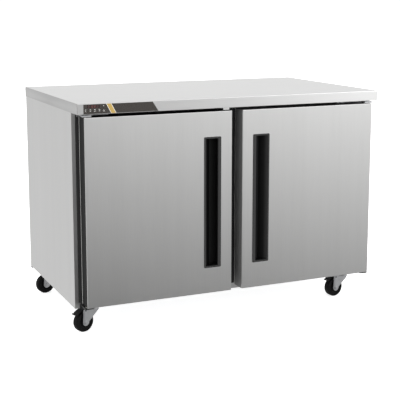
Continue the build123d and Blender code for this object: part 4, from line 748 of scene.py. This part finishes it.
# ---------------------------------------------------------------- back
GRILLE_HALVES = ((-0.548, -0.2265, 3), (-0.0935, 0.548, 6))  # both ends, and the columns of louvres
GRILLE_MID_Z = 0.202
LOUVRE_PITCH = (0.102, 0.015)
LOUVRE_SIZE = (0.084, 0.0092, 0.0031)
LOUVRE_ROWS = 10
LOUVRE_DROP = 0.0037  # of a hood's open edge, below the middle of its slot
LOUVRE_LIFT = 0.0001
LOUVRE_SHEET = 0.0006
HOOD_STEPS = (14, 5)  # along and up
HEX_WASHER = ((0, 0.0008), (0.0040, 0.0008), (0.0046, 0.0005), (0.0048, 0))
HEX_HEAD = (
    (0, 0.0029), (0.0024, 0.0029), (0.0026, 0.0032), (0.0029, 0.0032), (0.0033, 0.0028), (0.0034, 0.0004),
)  # fmt: skip
RIVET = ((0, 0.0003), (0.0008, 0.0003), (0.0011, 0.0009), (0.0021, 0.0008), (0.0030, 0.0004), (0.0033, 0))
SCREW_X = (-0.536, -0.387, -0.238, -0.082, 0.070, 0.227, 0.382, 0.536, -0.214, -0.106)
SCREW_INSET = 0.0085
SIDE_RIVETS = (0.601, 0.125, 0.0945, 8)  # X, first Z, pitch and count
TOP_RIVETS = (0.780, -0.520, 0.130, 9)  # Z, first X, pitch and count


def build_louvres():
    """Pressed hoods over the slots of the rear grille, open downwards."""
    length, height, rise = LOUVRE_SIZE
    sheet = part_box("rear_grille")[1].y
    bm = bmesh.new()
    for x0, x1, columns in GRILLE_HALVES:
        for column in range(columns):
            x = (x0 + x1) / 2 + (column - (columns - 1) / 2) * LOUVRE_PITCH[0]
            for row in range(LOUVRE_ROWS):
                z = GRILLE_MID_Z + (row - (LOUVRE_ROWS - 1) / 2) * LOUVRE_PITCH[1] - LOUVRE_DROP
                rows = []
                for v_step in range(HOOD_STEPS[1] + 1):
                    v = v_step / HOOD_STEPS[1]
                    line = []
                    for u_step in range(HOOD_STEPS[0] + 1):
                        u = math.sin(math.pi * (u_step / HOOD_STEPS[0] - 0.5))
                        level = rise * math.sqrt(max(0.0, 1 - u ** 4)) * math.sqrt(max(0.0, 1 - v ** 2.2))
                        line.append((x + u * length / 2, sheet + LOUVRE_LIFT + level, z + v * height))
                    rows.append(line)
                shell_grid(bm, rows, (0, -LOUVRE_SHEET, 0))
    make_piece("rear_louvre_hoods", bm, "cabinet", "shell_steel")


def hex_screw(bm, at, normal):
    """Hex washer-head screw."""
    place = frame_at(at, normal)
    lathe(bm, HEX_WASHER, place, 24)
    lathe(bm, HEX_HEAD, place, 6)


def pop_rivet(bm, at, normal):
    """Blind rivet: a domed flange with the broken stem's hollow."""
    lathe(bm, RIVET, frame_at(at, normal), 20)


def build_back_fasteners():
    """Screws of the grille and the inlet plate, and the rivets of the back panel's sides and top."""
    low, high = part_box("rear_grille")
    screws = bmesh.new()
    for x in SCREW_X:
        for z in (low.z + SCREW_INSET, high.z - SCREW_INSET):
            hex_screw(screws, (x, high.y, z), (0, 1, 0))
    make_piece("grille_screws", screws, "cabinet", "zinc")
    rivets = bmesh.new()
    x, z0, pitch, count = SIDE_RIVETS
    for side in (-1, 1):
        for step in range(count):
            pop_rivet(rivets, (side * x, high.y, z0 + step * pitch), (0, 1, 0))
    z, x0, pitch, count = TOP_RIVETS
    for step in range(count):
        pop_rivet(rivets, (x0 + step * pitch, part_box("back_panel")[1].y, z), (0, 1, 0))
    make_piece("back_rivets", rivets, "cabinet", "galvanised")


CLOSURE_X = 0.5888
CLOSURE_SECTION = (  # (y, z)
    (-0.2730, 0.8126), (-0.2730, 0.8476), (-0.2744, 0.8476), (-0.2744, 0.8146),
    (-0.2750, 0.8140), (-0.2794, 0.8140), (-0.2794, 0.8126),
)  # fmt: skip


def build_worktop_closure():
    """Angle strip that closes the worktop's insulation above the breaker frame."""
    bm = bmesh.new()
    ends = [[bm.verts.new((x, y, z)) for y, z in CLOSURE_SECTION] for x in (-CLOSURE_X, CLOSURE_X)]
    skin_rings(bm, ends)
    for end in ends:
        bm.faces.new(end)
    make_piece("worktop_closure", bm, "cabinet", "black_trim", "breaker_trim")


# ---------------------------------------------------------------- inside
GUARD_RINGS = (0.014, 0.024, 0.034, 0.044, 0.054, 0.064)
GUARD_EDGE = 0.066
GUARD_FOOT = 0.0010
GUARD_RISE = 0.012
RING_WIRE = 0.0010
SPOKE_WIRE = 0.0012
SPOKES = 6
SPOKE_TURN = 0.2
SPOKE_STEPS = 8
SPOKE_PITCH = 0.0068
SPOKE_DROP = 0.0010  # of the spokes, under the rings
GUARD_BOSS = ((0, 0.0150), (0.008, 0.0146), (0.0130, 0.0132), (0.0142, 0.0118), (0, 0.0112))
COVER_SCREW_INSET = 0.018


def guard_dome(radius):
    """Height of the guard's rings over the cover."""
    return GUARD_FOOT + GUARD_RISE * (1 - (radius / GUARD_EDGE) ** 2)


def build_fan_guard():
    """Domed wire guard over the evaporator fan, with the screws of the cover."""
    low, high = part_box("evaporator_cover")
    x, _, z = JOINTS["evaporator_fan_spin"]["pos_m"]
    place = frame_at((x, low.y, z), (0, -1, 0))
    bm = bmesh.new()
    for radius in GUARD_RINGS:
        wire_circle(bm, radius, guard_dome(radius), RING_WIRE, place)
    for step in range(SPOKES):
        turned = place @ Matrix.Rotation(2 * math.pi * step / SPOKES + SPOKE_TURN, 4, "Z")
        points = []
        for part in range(SPOKE_STEPS + 1):
            radius = GUARD_RINGS[0] + part * SPOKE_PITCH
            points.append(turned @ Vector((radius, 0, max(guard_dome(radius), GUARD_FOOT) - SPOKE_DROP)))
        tube(bm, points, SPOKE_WIRE)
    lathe(bm, GUARD_BOSS, place, 40)
    make_piece("evaporator_fan_guard", bm, "cabinet", "zinc")
    screws = bmesh.new()
    left, right = low.x + COVER_SCREW_INSET, high.x - COVER_SCREW_INSET
    for screw_x in (left, (low.x + x) / 2, (high.x + x) / 2, right):
        for screw_z in (low.z + COVER_SCREW_INSET, high.z - COVER_SCREW_INSET):
            hex_screw(screws, (screw_x, low.y, screw_z), (0, -1, 0))
    make_piece("evaporator_cover_screws", screws, "cabinet", "zinc")


HUB = (
    (0, 0.0004), (0.0085, 0.0004), (0.0122, 0.0012), (0.0137, 0.0028), (0.0140, 0.0050), (0.0140, 0.0142),
    (0.0132, 0.0150), (0.0025, 0.0150),
)  # fmt: skip
SHAFT_R = 0.0025
BLADES = 5
BLADE_ROOT = 0.0132
BLADE_STEPS = (10, 8)  # out along the blade and across it
BLADE_SHEET = 0.0013
BLADE_CHORD = (0.36, 0.30)  # of the radius: at the root, and what the tip adds
BLADE_SWEEP = 0.30
BLADE_TURN_R = 0.4  # of the radius: inside it the blade's angle stops widening
BLADE_MID = 0.0075
BLADE_TWIST = (0.0062, 0.0014)  # half rise at the root, and what the tip loses
BLADE_CAMBER = 0.0012


def build_rotor(node, radius, front):
    """Fan rotor: a capped hub with five swept, twisted blades."""
    x, _, z = JOINTS[f"{node}_spin"]["pos_m"]
    place = frame_at((x, front, z), (0, 1, 0))
    bm = bmesh.new()
    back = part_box(node)[1].y - front
    lathe(bm, (*HUB, (SHAFT_R, back), (0, back)), place)
    for blade in range(BLADES):
        rows = []
        for i in range(BLADE_STEPS[0] + 1):
            share = i / BLADE_STEPS[0]
            r = BLADE_ROOT + (radius - BLADE_ROOT) * share
            chord = radius * (BLADE_CHORD[0] + BLADE_CHORD[1] * share)
            sweep = 2 * math.pi * blade / BLADES - BLADE_SWEEP * share
            line = []
            for j in range(BLADE_STEPS[1] + 1):
                t = j / BLADE_STEPS[1] - 0.5
                angle = sweep + t * chord / max(r, BLADE_TURN_R * radius)
                twist = t * 2 * (BLADE_TWIST[0] - BLADE_TWIST[1] * share)
                rise = BLADE_MID + twist + BLADE_CAMBER * (1 - 4 * t * t)
                line.append(place @ Vector((r * math.cos(angle), r * math.sin(angle), rise)))
            rows.append(line)
        shell_grid(bm, rows, place.to_3x3() @ Vector((0, 0, -BLADE_SHEET)))
    make_piece(f"{node}_rotor", bm, node, "fan_plastic", replaced=(node,))


# ---------------------------------------------------------------- camera and light
CAMERA_AT = (-1.573, -3.556, 1.206)
CAMERA_YAW = math.radians(-23.98)
CAMERA_PITCH = math.radians(-9.41)
LENS = 88.0
SENSOR = 36.0
SHIFT_DOWN = 0.10
FAR = 200.0


def build_camera():
    """The photo's camera."""
    data = bpy.data.cameras.new("camera")
    data.lens = LENS
    data.sensor_width = SENSOR
    data.shift_y = -SHIFT_DOWN
    data.clip_end = FAR
    camera = bpy.data.objects.new("camera", data)
    camera.location = CAMERA_AT
    camera.rotation_euler = (math.pi / 2 + CAMERA_PITCH, 0, CAMERA_YAW)
    bpy.context.scene.collection.objects.link(camera)
    bpy.context.scene.camera = camera


FLOOR_HALF = 60.0
FLOOR_GLOW = 0.70


def build_floor():
    """Plain pale studio floor, lit evenly enough to meet the background."""
    mesh = bpy.data.meshes.new("studio_floor")
    corners = [(x * FLOOR_HALF, y * FLOOR_HALF, 0) for x, y in ((-1, -1), (1, -1), (1, 1), (-1, 1))]
    mesh.from_pydata(corners, [], [(0, 1, 2, 3)])
    floor = bpy.data.objects.new("studio_floor", mesh)
    bpy.context.scene.collection.objects.link(floor)
    material, g, shader = new_material("studio_floor")
    cloud = g.noise(g.mapping(), scale=0.8, detail=2.0)
    g.link(g.tint(cloud, (0.90, 0.90, 0.90), (0.93, 0.93, 0.93)), shader.inputs["Base Color"])
    shader.inputs["Roughness"].default_value = 0.9
    shader.inputs["Emission Color"].default_value = (1, 1, 1, 1)
    shader.inputs["Emission Strength"].default_value = FLOOR_GLOW
    mesh.materials.append(material)
    floor.visible_glossy = False


FRONT_FALL = (0.0, 1.38, -0.40, 0.10)  # low and high level, and the heights between which they blend
SIDE_RISE = (0.84, 1.93, 0.38, 0.54)  # the same to the right, by X
SIDE_FALL = (1.0, 0.55, 0.60, 0.90)
FRONT_BLEND = (0.0, 1.0, -0.1, 0.6)  # from behind to in front, by -Y
BACK_LEVEL = 1.06


def build_world():
    """White studio: bright above and behind, falling off below the horizon in front."""
    world = bpy.data.worlds.new("studio")
    bpy.context.scene.world = world
    world.use_nodes = True
    g = Graph(world.node_tree)
    direction = g.split(g.add("ShaderNodeTexCoord").outputs["Generated"])
    slope = g.spread(direction["Z"], *FRONT_FALL)
    rise = g.spread(direction["X"], *SIDE_RISE)
    fall = g.spread(direction["X"], *SIDE_FALL)
    level = g.math("MULTIPLY", g.math("MULTIPLY", slope, rise), fall)
    facing = g.spread(g.math("MULTIPLY", direction["Y"], -1.0), *FRONT_BLEND)
    mixed = g.add("ShaderNodeMix", data_type="FLOAT")
    g.link(facing, mixed.inputs["Factor"])
    mixed.inputs["A"].default_value = BACK_LEVEL
    g.link(level, mixed.inputs["B"])
    shader = g.add("ShaderNodeBackground")
    shader.inputs["Color"].default_value = (1, 1, 1, 1)
    g.link(mixed.outputs["Result"], shader.inputs["Strength"])
    output = g.add("ShaderNodeOutputWorld")
    g.link(shader.outputs[0], output.inputs["Surface"])


def area_light(name, place, aim, size, power, glossy=True):
    """Rectangular lamp at a place, turned to an aim."""
    data = bpy.data.lights.new(name, "AREA")
    data.shape = "RECTANGLE"
    data.size, data.size_y = size
    data.energy = power
    light = bpy.data.objects.new(name, data)
    light.location = place
    light.rotation_euler = (Vector(aim) - Vector(place)).to_track_quat("-Z", "Y").to_euler()
    light.visible_glossy = glossy
    bpy.context.scene.collection.objects.link(light)


def build_lights():
    """Soft light from above, and a weaker lamp at the front right."""
    area_light("overhead", (0.0, -0.3, 3.6), (0, 0, 0), size=(4.0, 3.0), power=60, glossy=False)
    area_light("front_right", (3.4, -3.0, 2.2), (0, 0, 0.4), size=(3.0, 3.0), power=22)


MATERIALS = build_materials()
paint_nodes()
build_gaskets()
build_display()
build_buttons()
build_overlay_print()
build_wheels()
build_caster_seals()
build_louvres()
build_back_fasteners()
build_worktop_closure()
build_fan_guard()
build_rotor("evaporator_fan", radius=0.056, front=0.195)
build_rotor("condenser_fan", radius=0.076, front=0.260)
build_camera()
build_floor()
build_world()
build_lights()
bpy.context.scene.view_settings.view_transform = "Standard"
